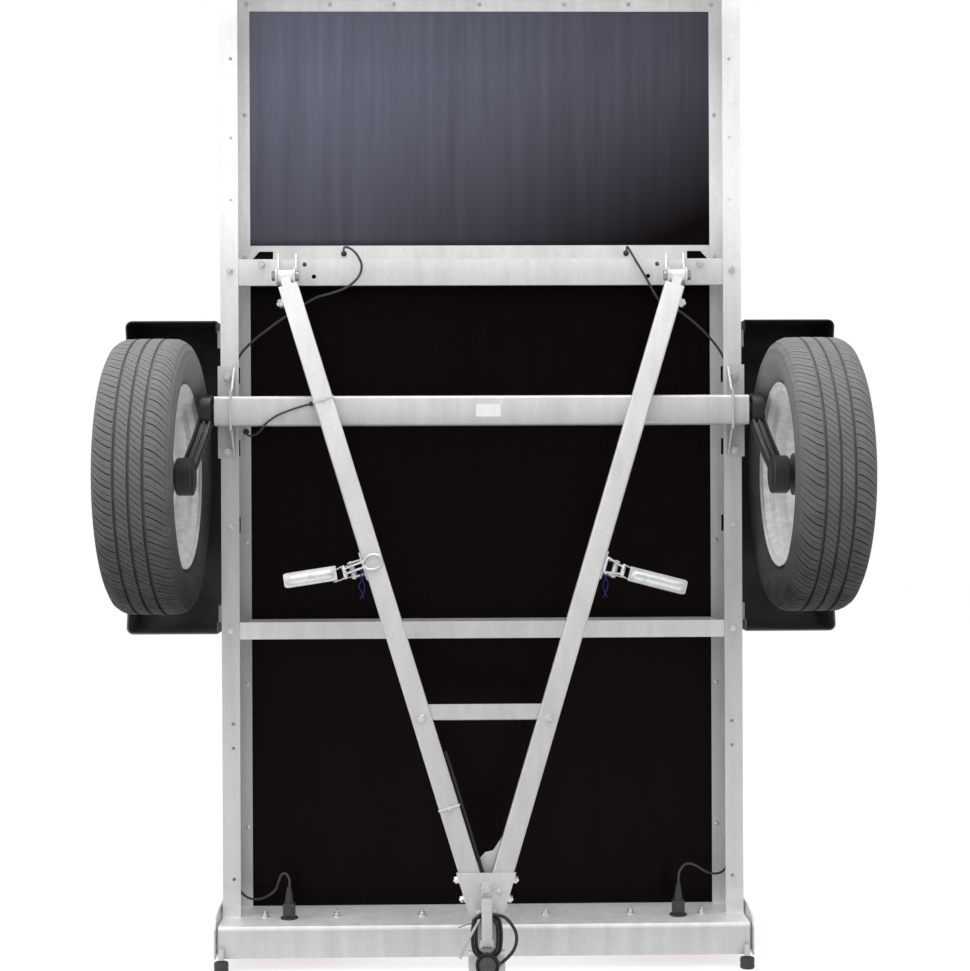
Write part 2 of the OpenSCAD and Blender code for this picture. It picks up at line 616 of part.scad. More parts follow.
// wire bail: on the left an eye over the tube, on the right a square loop beside it, both back to a sleeve
module latch_bail(side) color("silver") latch_frame(side) {
    eye_y = -arm_half - 4;
    bend_x = side < 0 ? 22 : 24;
    wire_r = 2.4;
    wire_z = side < 0 ? 7.5 : 15;
    difference() {
        union() {
            if (side < 0) translate([0, eye_y, 0]) rotate([90, 0, 0]) rotate_extrude() translate([15, 0]) circle(r = 2.5);
            if (side < 0) for (z = [-wire_z, wire_z]) translate([12, eye_y, z]) rod_x(wire_r, 0, bend_x - 12);
            if (side > 0) translate([bend_x, eye_y, -wire_z]) cylinder(r = wire_r, h = 2 * wire_z);
            reach = bail_pivot - [bend_x, eye_y];
            draw_in = atan2(wire_z - 7, norm(reach));
            for (end = [-1, 1]) translate([bend_x, eye_y, end * wire_z]) {
                sphere(r = wire_r, $fn = 24);
                rotate([0, end * draw_in, atan2(reach[1], reach[0])]) rod_x(wire_r, 0, norm(reach) - 1);
            }
            translate([bail_pivot[0], bail_pivot[1], -10]) cylinder(r = 4.2, h = 20);
        }
        translate([bail_pivot[0], bail_pivot[1], -20]) cylinder(r = 2 + run_gap, h = 40);
    }
}

// ---------------------------------------------------------------- plug, cables and small parts

module plug_coil() color(black) drawbar_plane() translate([0, 0, coil_w]) along_y(-46, -31) difference() {
    union() {
        for (w = [-14, 14]) translate([0, w]) circle(r = 31);
        square([62, 28], center = true);
    }
    for (w = [-14, 14]) translate([0, w]) circle(r = 15);
    square([30, 28], center = true);
}

module trailer_plug() color(black) drawbar_plane() translate([0, 0, plug_w]) {
    rod_y(22.5, -92, -62);
    rod_y(17.5, -62, -47);
    translate([0, -54, 0]) rod_x(4.5, 14, 26);
}

module lead_clips() color(black) {
    translate([-495, rail_d - sheet, 1092]) rod_y(6, -9, 0);
    box([-350, -71, 1139], [-343, -64, 1148]);
    for (x = [-288, 308]) translate([x, rail_d - 2 * sheet, 1467]) rod_y(6, -2, 0);
}

module tie(s, side) drawbar_plane() on_side(side) tube_frame() translate([0, 0, -s]) linear_extrude(4)
    difference() {
        square(arm_side + 2.4, center = true);
        square(arm_side + 0.2, center = true);
    }
module cable_ties() color("whitesmoke") {
    tie(275, -1);
    tie(1120, -1);
}

// ---------------------------------------------------------------- tailgate

module tailgate() color(zinc) {
    lo = rail_d + floor_t + 6;
    hi = rail_d + floor_t + wall_h;
    difference() {
        union() {
            box([-gate_half, lo, 66], [gate_half, hi, 68]);
            for (y = [lo, hi - 2]) box([-gate_half, y, 66], [gate_half, y + 2, 88]);
            for (x = [-gate_half, gate_half - 2]) box([x, lo, 66], [x + 2, hi, 88]);
            box([-gate_half, lo + 120, 66], [gate_half, lo + 122, 86]);
            both_sides() along_x(336, 364) union() {
                translate(gate_pivot) circle(r = 9);
                polygon([[gate_pivot[0], 47], [gate_pivot[0] + 3, 62], [lo + 3, 66], [lo + 50, 66],
                    [lo + 50, 62], [gate_pivot[0] + 9, 54]]);
            }
        }
        both_sides() translate([0, gate_pivot[0], gate_pivot[1]]) rod_x(gate_pin_r + run_gap, 330, 370);
        both_sides() translate([gate_latch_x, gate_latch_y, 60]) cylinder(r = 6 + run_gap, h = 12);
    }
}

// turn latch on the outside of the gate
module gate_latch() {
    translate([gate_latch_x, gate_latch_y, 56]) cylinder(r = 16, h = 8);
    translate([gate_latch_x, gate_latch_y, 56]) cylinder(r = 6, h = 24);
    box([gate_latch_x - 9, gate_latch_y - 90, 56], [gate_latch_x + 9, gate_latch_y, 61]);
}

// ---------------------------------------------------------------- assembly

color(zinc) on_side(-1) rail();  // left_rail
color(zinc) rail();  // right_rail
front_beam();
drawbar_crossmember();
rear_crossmember();
light_beam();
beam_end_plates();
floor_panel();
color(zinc) on_side(-1) side_wall();  // left_side_wall
color(zinc) side_wall();  // right_side_wall
front_wall();
axle_tube();
axle_brackets();
color(black) on_side(-1) fender();  // left_fender
color(black) fender();  // right_fender
fender_brackets();
rubber_feet();
tail_lamps();
lamp_plugs();
color(cable_grey) cable(left_lamp_route, lead_d);  // left_lamp_lead
color(cable_grey) cable(right_lamp_route, lead_d);  // right_lamp_lead
color(cable_grey) cable(left_front_route, lead_d);  // left_front_lead
color(cable_grey) cable(right_front_route, lead_d);  // right_front_lead
color(cable_grey) cable(axle_route, thin_d);  // axle_lead
lead_clips();
floor_screws();
frame_bolts();
hinge_lugs();
hinge_pins();
latch_hooks();
drawbar_arm(-1);  // left_drawbar_arm
drawbar_arm(1);  // right_drawbar_arm
drawbar_brace();
apex_bracket();
coupling_head();
drawbar_bolts();
latch_bases();
plug_coil();
color(black) drawbar_plane() cable(plug_route, plug_cable_d);  // plug_lead
trailer_plug();
color(black) drawbar_plane() cable(harness_route, plug_cable_d);  // harness_lead
cable_ties();
coupling_handle();
latch_handle(-1);  // left_latch_handle
latch_handle(1);  // right_latch_handle
latch_bail(-1);  // left_latch_bail
latch_bail(1);  // right_latch_bail
color(black) on_side(-1) swing_arm();  // left_swing_arm
color(black) swing_arm();  // right_swing_arm
color(zinc_dark) on_side(-1) hub();  // left_hub
color(zinc_dark) hub();  // right_hub
color("silver") on_side(-1) rim();  // left_rim
color("silver") rim();  // right_rim
color("#3a3a3c") on_side(-1) tyre();  // left_tyre
color("#3a3a3c") tyre();  // right_tyre
color("silver") on_side(-1) wheel_bolts();  // left_wheel_bolts
color("silver") wheel_bolts();  // right_wheel_bolts
tailgate();
color("silver") on_side(-1) gate_latch();  // left_gate_latch
color("silver") gate_latch();  // right_gate_latch
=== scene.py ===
"""Looks of the folding-drawbar trailer, stood upright on its rear end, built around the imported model."""

import json
import math
import random

import bmesh
import bpy
from bpy.props import FloatProperty, FloatVectorProperty, IntProperty, PointerProperty
from mathutils import Matrix, Vector


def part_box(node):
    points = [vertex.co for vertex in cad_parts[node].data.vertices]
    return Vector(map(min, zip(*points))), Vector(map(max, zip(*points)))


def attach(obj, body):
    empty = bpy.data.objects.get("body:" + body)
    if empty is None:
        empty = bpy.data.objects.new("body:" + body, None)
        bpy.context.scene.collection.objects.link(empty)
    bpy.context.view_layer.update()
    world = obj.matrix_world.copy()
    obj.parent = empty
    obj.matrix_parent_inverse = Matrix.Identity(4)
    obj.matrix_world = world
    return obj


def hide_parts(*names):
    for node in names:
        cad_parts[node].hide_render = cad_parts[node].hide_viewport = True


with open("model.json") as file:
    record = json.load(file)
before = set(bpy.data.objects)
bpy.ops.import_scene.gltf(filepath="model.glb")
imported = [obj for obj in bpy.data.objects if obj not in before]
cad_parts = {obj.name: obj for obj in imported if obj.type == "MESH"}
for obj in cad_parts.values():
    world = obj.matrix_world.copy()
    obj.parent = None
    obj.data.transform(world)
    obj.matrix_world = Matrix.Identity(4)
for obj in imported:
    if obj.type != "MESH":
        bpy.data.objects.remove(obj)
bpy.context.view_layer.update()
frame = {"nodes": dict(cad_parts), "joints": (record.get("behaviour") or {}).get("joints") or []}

bl_info = {
    "name": "Folding-drawbar trailer",
    "version": (1, 0, 0),
    "blender": (4, 5, 0),
    "location": "View3D > Sidebar > Trailer",
    "description": "Builds the visible pieces of an upright stored trailer around its packed model",
    "category": "Object",
}

MM = 0.001
SIDES = (("left", -1), ("right", 1))
HEIGHT = 2.04                # of the standing trailer
LEAN = math.radians(9.65)    # lean of the stored drawbar off the frame
SPLAY = math.radians(17.14)  # angle of each drawbar tube to the middle line
HINGE = Vector((400, -45, 1405)) * MM
LATCH_REACH = 618            # distance of the latches along the tubes, in mm


# ---------------------------------------------------------------- settings


class TrailerSizes(bpy.types.PropertyGroup):
    """Sizes of the detailed pieces"""

    tread_depth: FloatProperty(
        name="Tread depth", description="Depth of the grooves in the tyres", default=0.0065,
        min=0.002, max=0.009, unit="LENGTH")
    tread_pitches: IntProperty(
        name="Tread pitches", description="Number of tread blocks round each tyre", default=68, min=40, max=90)
    plug_cable: FloatProperty(
        name="Plug cable", description="Diameter of the cable to the trailer plug", default=0.0065,
        min=0.005, max=0.009, unit="LENGTH")
    lamp_lead: FloatProperty(
        name="Lamp lead", description="Diameter of the grey leads", default=0.005,
        min=0.003, max=0.007, unit="LENGTH")
    axle_lead: FloatProperty(
        name="Axle lead", description="Diameter of the thin lead over the axle", default=0.004,
        min=0.003, max=0.006, unit="LENGTH")
    plastic_edge: FloatProperty(
        name="Fender edge radius", description="Rounding between a fender's roof and its skirt", default=0.014,
        min=0.004, max=0.03, unit="LENGTH")


def colour(name, text, value):
    return FloatVectorProperty(name=name, description=text, default=value, subtype="COLOR", size=3,
                               min=0.0, max=1.0)


class TrailerColours(bpy.types.PropertyGroup):
    """Colours of the finishes"""

    zinc: colour("Zinc", "Tint of the galvanised steel", (1.0, 0.998, 0.995))
    plywood: colour("Floor film", "Black film on the plywood floor", (0.0048, 0.0029, 0.0024))
    # painted reflection: this colour is painted into the film's base colour in the upper bay
    plywood_sheen: colour("Floor film, lit", "Where the film in the upper bay catches the sky", (0.165, 0.170, 0.228))
    plastic: colour("Fender plastic", "Black moulded plastic", (0.009, 0.009, 0.010))
    # the tyre finish darkens this colour low down and lightens it above, as painted light and shade
    tyre: colour("Tyre rubber", "Dusty tyre rubber", (0.088, 0.088, 0.088))
    rim: colour("Wheel paint", "Silver wheel paint", (0.92, 0.925, 0.93))
    lens: colour("Lamp lens", "Red lens of the tail lamps", (0.42, 0.015, 0.012))


# ---------------------------------------------------------------- places


def moved(x, y, z):
    """A shift given in mm."""
    return Matrix.Translation(Vector((x, y, z)) * MM)


def turned(degrees, axis):
    return Matrix.Rotation(math.radians(degrees), 4, axis)


def mirrored(sign):
    """Turns a right-hand piece into a left-hand one where sign is -1."""
    return Matrix.Scale(sign, 4, (1, 0, 0))


def round_point(radius, angle, z=0.0):
    """A point on a circle round Z, in metres, from a radius and height in mm."""
    return radius * MM * math.cos(angle), radius * MM * math.sin(angle), z * MM


def plane_point(x, y, w):
    """A point of the stored drawbar's leaning plane, given in mm, as a point of the frame in metres."""
    y, w = y * MM, w * MM
    return Vector((x * MM, HINGE.y + y * math.cos(LEAN) + w * math.sin(LEAN),
                   HINGE.z - y * math.sin(LEAN) + w * math.cos(LEAN)))


def plane_matrix():
    return Matrix.Translation((0, HINGE.y, HINGE.z)) @ Matrix.Rotation(-LEAN, 4, "X")


def tube_matrix(side):
    """The frame of one drawbar tube: x outboard, y away from the road side, z up along the tube."""
    turn = Matrix.Translation((HINGE.x, 0, 0)) @ Matrix.Rotation(SPLAY, 4, "Y")
    if side > 0:
        return plane_matrix() @ turn
    return plane_matrix() @ Matrix.Scale(-1, 4, (1, 0, 0)) @ turn


def latch_matrix(side):
    return tube_matrix(side) @ moved(0, 0, -LATCH_REACH)


def middle(node):
    low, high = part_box(node)
    return (low + high) / 2


# ---------------------------------------------------------------- materials


class Finish:
    """A node material round one Principled shader, with layers added by its methods."""

    made = {}

    def __init__(self, name, base, rough, metal=0.0, coat=0.0, coat_rough=0.1, spec=0.5):
        self.mat = bpy.data.materials.new(name)
        self.mat.use_nodes = True
        self.tree = self.mat.node_tree
        self.shader = next(n for n in self.tree.nodes if n.type == "BSDF_PRINCIPLED")
        self.base = (*base, 1)
        self.set("Base Color", self.base)
        self.set("Roughness", rough)
        self.set("Metallic", metal)
        self.set("Coat Weight", coat)
        self.set("Coat Roughness", coat_rough)
        self.set("Specular IOR Level", spec)
        self.points = self.add("ShaderNodeTexCoord").outputs["Object"]
        self.mat.diffuse_color = self.base
        Finish.made[name] = self.mat

    def add(self, kind, **settings):
        node = self.tree.nodes.new(kind)
        for key, value in settings.items():
            setattr(node, key, value)
        return node

    def link(self, source, target):
        self.tree.links.new(source, target)

    def set(self, socket, value):
        self.shader.inputs[socket].default_value = value

    def stretched(self, scale):
        """The object's coordinates times one number, or one for each axis."""
        node = self.add("ShaderNodeMapping")
        node.inputs["Scale"].default_value = scale if isinstance(scale, tuple) else (scale, scale, scale)
        self.link(self.points, node.inputs["Vector"])
        return node.outputs["Vector"]

    def noise(self, scale, detail=3.0, rough=0.55):
        node = self.add("ShaderNodeTexNoise")
        self.link(self.stretched(scale), node.inputs["Vector"])
        for key, number in (("Scale", 1.0), ("Detail", detail), ("Roughness", rough)):
            node.inputs[key].default_value = number
        return node.outputs["Fac"]

    def cells(self, scale, feature="F1", out="Color"):
        node = self.add("ShaderNodeTexVoronoi", feature=feature)
        self.link(self.stretched(scale), node.inputs["Vector"])
        node.inputs["Scale"].default_value = 1.0
        return node.outputs[out]

    def span(self, value, low, high, out_low=0.0, out_high=1.0):
        node = self.add("ShaderNodeMapRange")
        for key, number in (("From Min", low), ("From Max", high), ("To Min", out_low), ("To Max", out_high)):
            node.inputs[key].default_value = number
        self.link(value, node.inputs["Value"])
        return node.outputs["Result"]

    def patches(self, scale, detail, low, high, rough=0.55):
        """Noise that runs between two values."""
        return self.span(self.noise(scale, detail, rough), 0.3, 0.7, low, high)

    def math(self, kind, a, b):
        node = self.add("ShaderNodeMath", operation=kind)
        for socket, value in zip(node.inputs, (a, b)):
            if isinstance(value, (int, float)):
                socket.default_value = value
            else:
                self.link(value, socket)
        return node.outputs[0]

    def times(self, a, b):
        return self.math("MULTIPLY", a, b)

    def plus(self, a, b):
        return self.math("ADD", a, b)

    def axis(self, name):
        node = self.add("ShaderNodeSeparateXYZ")
        self.link(self.points, node.inputs[0])
        return node.outputs[name]

    def blend(self, factor, a, b, kind="MIX"):
        """Colour a turning into colour b as factor goes from 0 to 1."""
        node = self.add("ShaderNodeMix", data_type="RGBA", blend_type=kind)
        for socket, value in ((node.inputs[0], factor), (node.inputs[6], a), (node.inputs[7], b)):
            if isinstance(value, (int, float)):
                socket.default_value = value
            elif isinstance(value, tuple):
                socket.default_value = (*value[:3], 1)
            else:
                self.link(value, socket)
        return node.outputs[2]

    def paint(self, value):
        self.link(value, self.shader.inputs["Base Color"])

    def roughen(self, value):
        self.link(value, self.shader.inputs["Roughness"])

    def bump(self, height, strength=0.3, depth=0.001):
        node = self.add("ShaderNodeBump")
        node.inputs["Strength"].default_value = strength
        node.inputs["Distance"].default_value = depth
        self.link(height, node.inputs["Height"])
        self.link(node.outputs["Normal"], self.shader.inputs["Normal"])


def zinc_finish(name, tint, painted_light_tones, rough=0.42, metal=0.25, spangle=150.0):
    """Galvanised steel: pale spangle, soft run marks down its length, and painted light and shade given as (height,
    grey), so that it is lighter or darker by height.
    """
    look = Finish(name, tuple(c * painted_light_tones[0][1] for c in tint), rough, metal, spec=0.4)
    # painted light and shade: the zinc's grey follows this height ramp, lighter where light falls and darker where
    # shade falls
    ramp = look.add("ShaderNodeValToRGB")
    look.link(look.span(look.axis("Z"), 0.0, HEIGHT), ramp.inputs[0])
    steps = ramp.color_ramp.elements
    while len(steps) < len(painted_light_tones):
        steps.new(0.5)
    for step, (height, grey) in zip(steps, painted_light_tones):
        step.position = height / HEIGHT
        step.color = (*(c * grey for c in tint), 1)
    body = ramp.outputs[0]
    grain = look.cells(spangle)
    grain_grey = look.add("ShaderNodeRGBToBW")
    look.link(grain, grain_grey.inputs[0])
    speck = look.span(grain_grey.outputs[0], 0.0, 1.0, 0.955, 1.03)
    runs = look.patches((34, 34, 2.2), 4, 0.90, 1.05, 0.6)
    cloud = look.patches((9, 9, 6), 3, 0.95, 1.03)
    shade = look.times(look.times(speck, runs), cloud)
    tone = look.add("ShaderNodeCombineColor")
    for socket in tone.inputs:
        look.link(shade, socket)
    look.paint(look.blend(1.0, body, tone.outputs[0], "MULTIPLY"))
    look.roughen(look.patches((60, 60, 12), 4, rough - 0.08, rough + 0.1))
    look.bump(look.noise((220, 220, 60), 3), 0.12, 0.0006)


def bright_zinc_finish(name, base, rough):
    """Plated or cast metal with darker patches."""
    look = Finish(name, base, rough, 0.85)
    look.paint(look.blend(look.span(look.noise(90, 4), 0.45, 0.8), base, tuple(c * 0.74 for c in base)))
    look.roughen(look.patches(70, 3, rough - 0.04, rough + 0.12))
    look.bump(look.noise(300, 2), 0.08, 0.0003)


def plywood_finish(base, lit):
    """Film-faced plywood: black and glossy below, with a painted reflection of the sky in the upper bay, brighter up
    and to the left, and dried runs down it.
    """
    look = Finish("film_faced_plywood", base, 0.24, spec=0.035)
    # painted reflection: above 1.47 m the film's base colour is blended towards the lit sky colour
    bay = look.span(look.axis("Z"), 1.47, 1.50)
    slant = look.add("ShaderNodeVectorMath", operation="DOT_PRODUCT")
    slant.inputs[1].default_value = (-0.60, 0.0, 1.25)
    look.link(look.points, slant.inputs[0])
    rise = look.span(slant.outputs["Value"], 1.64, 2.74)
    runs = look.span(look.noise((46, 46, 1.6), 5, 0.65), 0.35, 0.72, 0.86, 1.18)
    painted_sky_reflection = look.times(look.times(bay, rise), runs)
    look.paint(look.blend(painted_sky_reflection, base, lit))
    look.roughen(look.patches((30, 30, 4), 4, 0.18, 0.34))
    mesh = look.cells((170, 1, 170), "DISTANCE_TO_EDGE", "Distance")
    inside = look.span(look.axis("Y"), 0.0975, 0.0985)
    wires = look.times(look.span(mesh, 0.0, 0.12, 1.0, 0.0), inside)
    look.bump(look.plus(wires, look.times(look.noise((300, 300, 40), 3), 0.05)), 0.5, 0.0006)


def plastic_finish(name, base, rough, dust_and_painted_light=0.0, grain=700, depth=0.00025):
    """Moulded plastic with a fine eroded grain, and dusty patches that grow towards the bottom, where they also serve
    as a painted highlight on the fenders' lower lip.
    """
    look = Finish(name, base, rough, spec=0.45)
    if dust_and_painted_light:
        # partly dust, partly painted light: the patches grow lighter below 0.86 m, a painted highlight on the lit
        # lower lip of the fenders
        patch = look.times(look.span(look.noise(14, 5, 0.65), 0.2, 0.75, 0.3, 1.0),
                          look.span(look.axis("Z"), 0.86, 0.69, 0.03, dust_and_painted_light))
        look.paint(look.blend(patch, base, (0.22, 0.22, 0.21)))
    else:
        look.paint(look.blend(look.noise(60, 3), base, tuple(c * 0.8 for c in base)))
    look.roughen(look.patches(40, 3, rough - 0.07, rough + 0.1))
    look.bump(look.noise(grain, 2), 0.35, depth)


def tyre_finish(base):
    """Rubber with a fine grain and dusty patches, darker low down and grey above as painted light and shade by height.
    """
    look = Finish("tyre_rubber_dust_and_painted_light", base, 0.78, spec=0.25)
    # painted light and shade: the rubber is darkened low down and lightened above, from 0.76 m to 1.24 m, with some
    # dusty patches on top of that
    painted_light_by_height = look.span(look.axis("Z"), 0.76, 1.24)
    dust_and_painted_light = look.plus(look.times(look.span(look.noise(26, 6, 0.7), 0.3, 0.75), 0.18), look.times(painted_light_by_height, 0.82))
    tyre_colour_with_painted_light = look.blend(dust_and_painted_light, tuple(c * 0.10 for c in base), tuple(min(1, c * 2.6) for c in base))
    fine = look.times(look.span(look.noise(420, 3), 0.4, 0.75, 0.0, 0.2), painted_light_by_height)
    look.paint(look.blend(fine, tyre_colour_with_painted_light, (0.30, 0.30, 0.29)))
    look.bump(look.noise(900, 3), 0.4, 0.0003)


def rim_finish(base):
    """Silver paint with dark streaks."""
    look = Finish("wheel_paint", base, 0.34, 0.05, coat=0.15)
    streaks = look.span(look.noise((30, 60, 60), 6, 0.75), 0.35, 0.7)
    look.paint(look.blend(streaks, base, tuple(c * 0.68 for c in base)))
    look.roughen(look.patches(80, 3, 0.26, 0.5))
    look.bump(look.noise(160, 4), 0.12, 0.0005)


def cable_finish(name, base):
    """A slightly uneven cable sheath."""
    look = Finish(name, base, 0.5, spec=0.4)
    look.paint(look.blend(look.noise(120, 3), base, tuple(min(1, c * 1.5) for c in base)))
    look.bump(look.noise(700, 2), 0.25, 0.0002)


def lens_finish(base):
    """Clear coated lamp plastic with fine ribs."""
    look = Finish("lamp_lens_red", base, 0.12, coat=0.6, coat_rough=0.05)
    look.paint(look.blend(look.noise(50, 2), base, tuple(c * 0.7 for c in base)))
    ribs = look.add("ShaderNodeTexWave", wave_type="BANDS", bands_direction="X")
    ribs.inputs["Scale"].default_value = 60.0
    look.link(look.points, ribs.inputs["Vector"])
    look.bump(ribs.outputs["Fac"], 0.4, 0.0006)


def make_finishes(colours):
    tint = tuple(colours.zinc)
    # painted light and shade by height, as (height, grey): a painted highlight along the light beam's top front edge
    # near 0.087 m, darker low down and lighter towards the top
    sheet_painted_light_tones = ((0.03, 0.60), (0.083, 0.55), (0.087, 0.96), (0.10, 0.80), (0.15, 0.58), (0.33, 0.58), (0.74, 0.48),
             (1.0, 0.57), (1.28, 0.72), (1.42, 0.79), (1.6, 0.95), (1.93, 0.80), (2.0, 0.97))
    zinc_finish("galvanised_sheet", tint, sheet_painted_light_tones)
    zinc_finish("galvanised_dull", tint, tuple((z, g * 0.92) for z, g in sheet_painted_light_tones), 0.5)
    # these ramps are painted light and shade by height as well, one per group of parts: the cross members, drawbar
    # tubes and axle are made lighter towards their tops
    zinc_finish("galvanised_cross", tint,
                ((0.56, 0.50), (0.66, 0.62), (1.2, 0.60), (1.395, 0.60), (1.42, 0.66), (1.443, 0.76)))
    zinc_finish("galvanised_tube_metal", tint, ((0.13, 0.50), (0.53, 0.53), (1.0, 0.67), (1.3, 0.80), (1.42, 0.84)),
                0.38, 0.25, 190.0)
    zinc_finish("galvanised_axle", tint, ((1.0, 0.48), (1.105, 0.49), (1.125, 0.60), (1.155, 0.70)), 0.38)
    for name, base, rough in (("bright_zinc", (0.72, 0.72, 0.73), 0.26), ("dark_zinc", (0.36, 0.36, 0.37), 0.4),
                              ("hub_casting", (0.30, 0.30, 0.31), 0.5)):
        bright_zinc_finish(name, base, rough)
    plywood_finish(tuple(colours.plywood), tuple(colours.plywood_sheen))
    for plastic in (
            ("fender_black", tuple(colours.plastic), 0.42, 0.62), ("bracket_grey", (0.34, 0.345, 0.35), 0.5),
            ("foot_rubber", (0.022, 0.022, 0.022), 0.6, 0.15, 400, 0.0004),
            ("lamp_black", (0.014, 0.014, 0.015), 0.4), ("plug_dark_grey", (0.045, 0.047, 0.047), 0.5),
            ("plug_black_plastic", (0.012, 0.012, 0.013), 0.4), ("plug_grey_insert", (0.085, 0.085, 0.085), 0.45),
            ("tie_nylon", (0.66, 0.66, 0.63), 0.4), ("tie_grey", (0.42, 0.42, 0.41), 0.4),
            ("label_white", (0.86, 0.86, 0.84), 0.45, 0.0, 300, 0.0001),
            ("cast_black", (0.012, 0.012, 0.013), 0.38, 0.1, 260, 0.0006),
            ("blue_string", (0.010, 0.004, 0.17), 0.7, 0.0, 900, 0.0004)):
        plastic_finish(*plastic)
    cable_finish("cable_sheath_grey", (0.030, 0.031, 0.032))
    cable_finish("cable_sheath_black", (0.012, 0.012, 0.012))
    tyre_finish(tuple(colours.tyre))
    rim_finish(tuple(colours.rim))
    lens_finish(tuple(colours.lens))


# ---------------------------------------------------------------- mesh helpers


def as_mesh(name, mesh_or_bmesh):
    """A mesh of that name; a working mesh is written out and freed."""
    mesh = mesh_or_bmesh
    if isinstance(mesh_or_bmesh, bmesh.types.BMesh):
        mesh = bpy.data.meshes.new(name)
        mesh_or_bmesh.to_mesh(mesh)
        mesh_or_bmesh.free()
    mesh.name = name
    return mesh


def finished(name, mesh_or_bmesh, material, body, nodes=(), smooth=35.0, matrix=None):
    """Puts a mesh into the scene as a piece: placed, shaded, riding on its body and standing for its nodes."""
    mesh = as_mesh(name, mesh_or_bmesh)
    if matrix is not None:
        mesh.transform(matrix)
        if matrix.determinant() < 0:
            mesh.flip_normals()
    piece = bpy.data.objects.new(name, mesh)
    bpy.context.scene.collection.objects.link(piece)
    if not mesh.materials:
        mesh.materials.append(Finish.made[material])
    if smooth is not None:
        mesh.shade_smooth()
        mesh.set_sharp_from_angle(angle=math.radians(smooth))
    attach(piece, body)
    if nodes:
        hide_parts(*nodes)
    return piece


def baked(piece):
    """The piece with its modifiers applied."""
    graph = bpy.context.evaluated_depsgraph_get()
    mesh = bpy.data.meshes.new_from_object(piece.evaluated_get(graph))
    piece.modifiers.clear()
    old, piece.data = piece.data, mesh
    bpy.data.meshes.remove(old)
    return piece


def loose(name, mesh_or_bmesh):
    """A plain object that still gets modifiers."""
    piece = bpy.data.objects.new(name, as_mesh(name, mesh_or_bmesh))
    bpy.context.scene.collection.objects.link(piece)
    return piece


def taken_mesh(piece):
    """The mesh of a plain object with its modifiers applied; the object goes."""
    baked(piece)
    mesh = piece.data
    bpy.data.objects.remove(piece)
    return mesh


def add_box(bm, low, high, matrix=None):
    low, high = Vector(low) * MM, Vector(high) * MM
    corners = [bm.verts.new((x, y, z)) for x in (low.x, high.x) for y in (low.y, high.y) for z in (low.z, high.z)]
    for loop in ((0, 1, 3, 2), (4, 6, 7, 5), (0, 4, 5, 1), (2, 3, 7, 6), (0, 2, 6, 4), (1, 5, 7, 3)):
        bm.faces.new([corners[i] for i in loop])
    if matrix is not None:
        bmesh.ops.transform(bm, matrix=matrix, verts=corners)


def add_turned(bm, profile, segments, matrix=None, closed=False):
    """Turns a profile of (radius, height) in mm round Z. An open profile starts and ends on the axis."""
    rings = []
    for radius, height in profile:
        if radius < 1e-6:
            rings.append([bm.verts.new((0, 0, height * MM))])
            continue
        rings.append([bm.verts.new(round_point(radius, 2 * math.pi * k / segments, height))
                      for k in range(segments)])
    pairs = list(zip(rings, rings[1:])) + ([(rings[-1], rings[0])] if closed else [])
    for one, two in pairs:
        for k in range(segments):
            m = (k + 1) % segments
            if len(one) == 1:
                bm.faces.new((one[0], two[m], two[k]))
            elif len(two) == 1:
                bm.faces.new((one[k], one[m], two[0]))
            else:
                bm.faces.new((one[k], one[m], two[m], two[k]))
    verts = [v for ring in rings for v in ring]
    if matrix is not None:
        bmesh.ops.transform(bm, matrix=matrix, verts=verts)


def add_swept(bm, points, section, up=(0.31, 0.24, 0.92), scales=None):
    """Sweeps a closed section, given as (across, up) offsets in metres, along points without twist."""
    rings = []
    normal = None
    for i, point in enumerate(points):
        ahead = (points[min(i + 1, len(points) - 1)] - points[max(i - 1, 0)]).normalized()
        if normal is None:
            normal = ahead.cross(Vector(up)).normalized()
        normal = (normal - ahead * normal.dot(ahead)).normalized()
        other = ahead.cross(normal)
        size = scales[i] if scales else 1.0
        rings.append([bm.verts.new(point + (normal * a + other * b) * size) for a, b in section])
    count = len(section)
    for one, two in zip(rings, rings[1:]):
        for k in range(count):
            bm.faces.new((one[k], one[(k + 1) % count], two[(k + 1) % count], two[k]))
    bm.faces.new(rings[0][::-1])
    bm.faces.new(rings[-1])


def round_section(radius, sides=10):
    return [(radius * math.cos(2 * math.pi * k / sides), radius * math.sin(2 * math.pi * k / sides))
            for k in range(sides)]


def smooth_line(points, steps=6):
    """A smooth line through given points."""
    points = [Vector(p) for p in points]
    line = []
    for i in range(len(points) - 1):
        a, b = points[i], points[i + 1]
        before = points[i - 1] if i else a * 2 - b
        after = points[i + 2] if i + 2 < len(points) else b * 2 - a
        for k in range(steps):
            t = k / steps
            line.append(0.5 * (2 * a + (b - before) * t + (2 * before - 5 * a + 4 * b - after) * t * t
                               + (3 * a - before - 3 * b + after) * t ** 3))
    line.append(points[-1])
    return line


def outwards(bm):
    """Closes the seams and poles of a working mesh and turns its faces outwards."""
    bmesh.ops.remove_doubles(bm, verts=bm.verts, dist=1e-6)
    bmesh.ops.recalc_face_normals(bm, faces=bm.faces)


def copy_of_node(node, width, segments=2, angle=32.0):
    """A merged copy of a node's mesh with its edges rounded."""
    bm = bmesh.new()
    bm.from_mesh(frame["nodes"][node].data)
    bmesh.ops.remove_doubles(bm, verts=bm.verts, dist=2e-6)
    bmesh.ops.dissolve_limit(bm, angle_limit=math.radians(0.8), verts=bm.verts, edges=bm.edges)
    mesh = as_mesh(node + "_copy", bm)
    mesh.materials.clear()
    return bevelled(mesh, width, segments, angle)


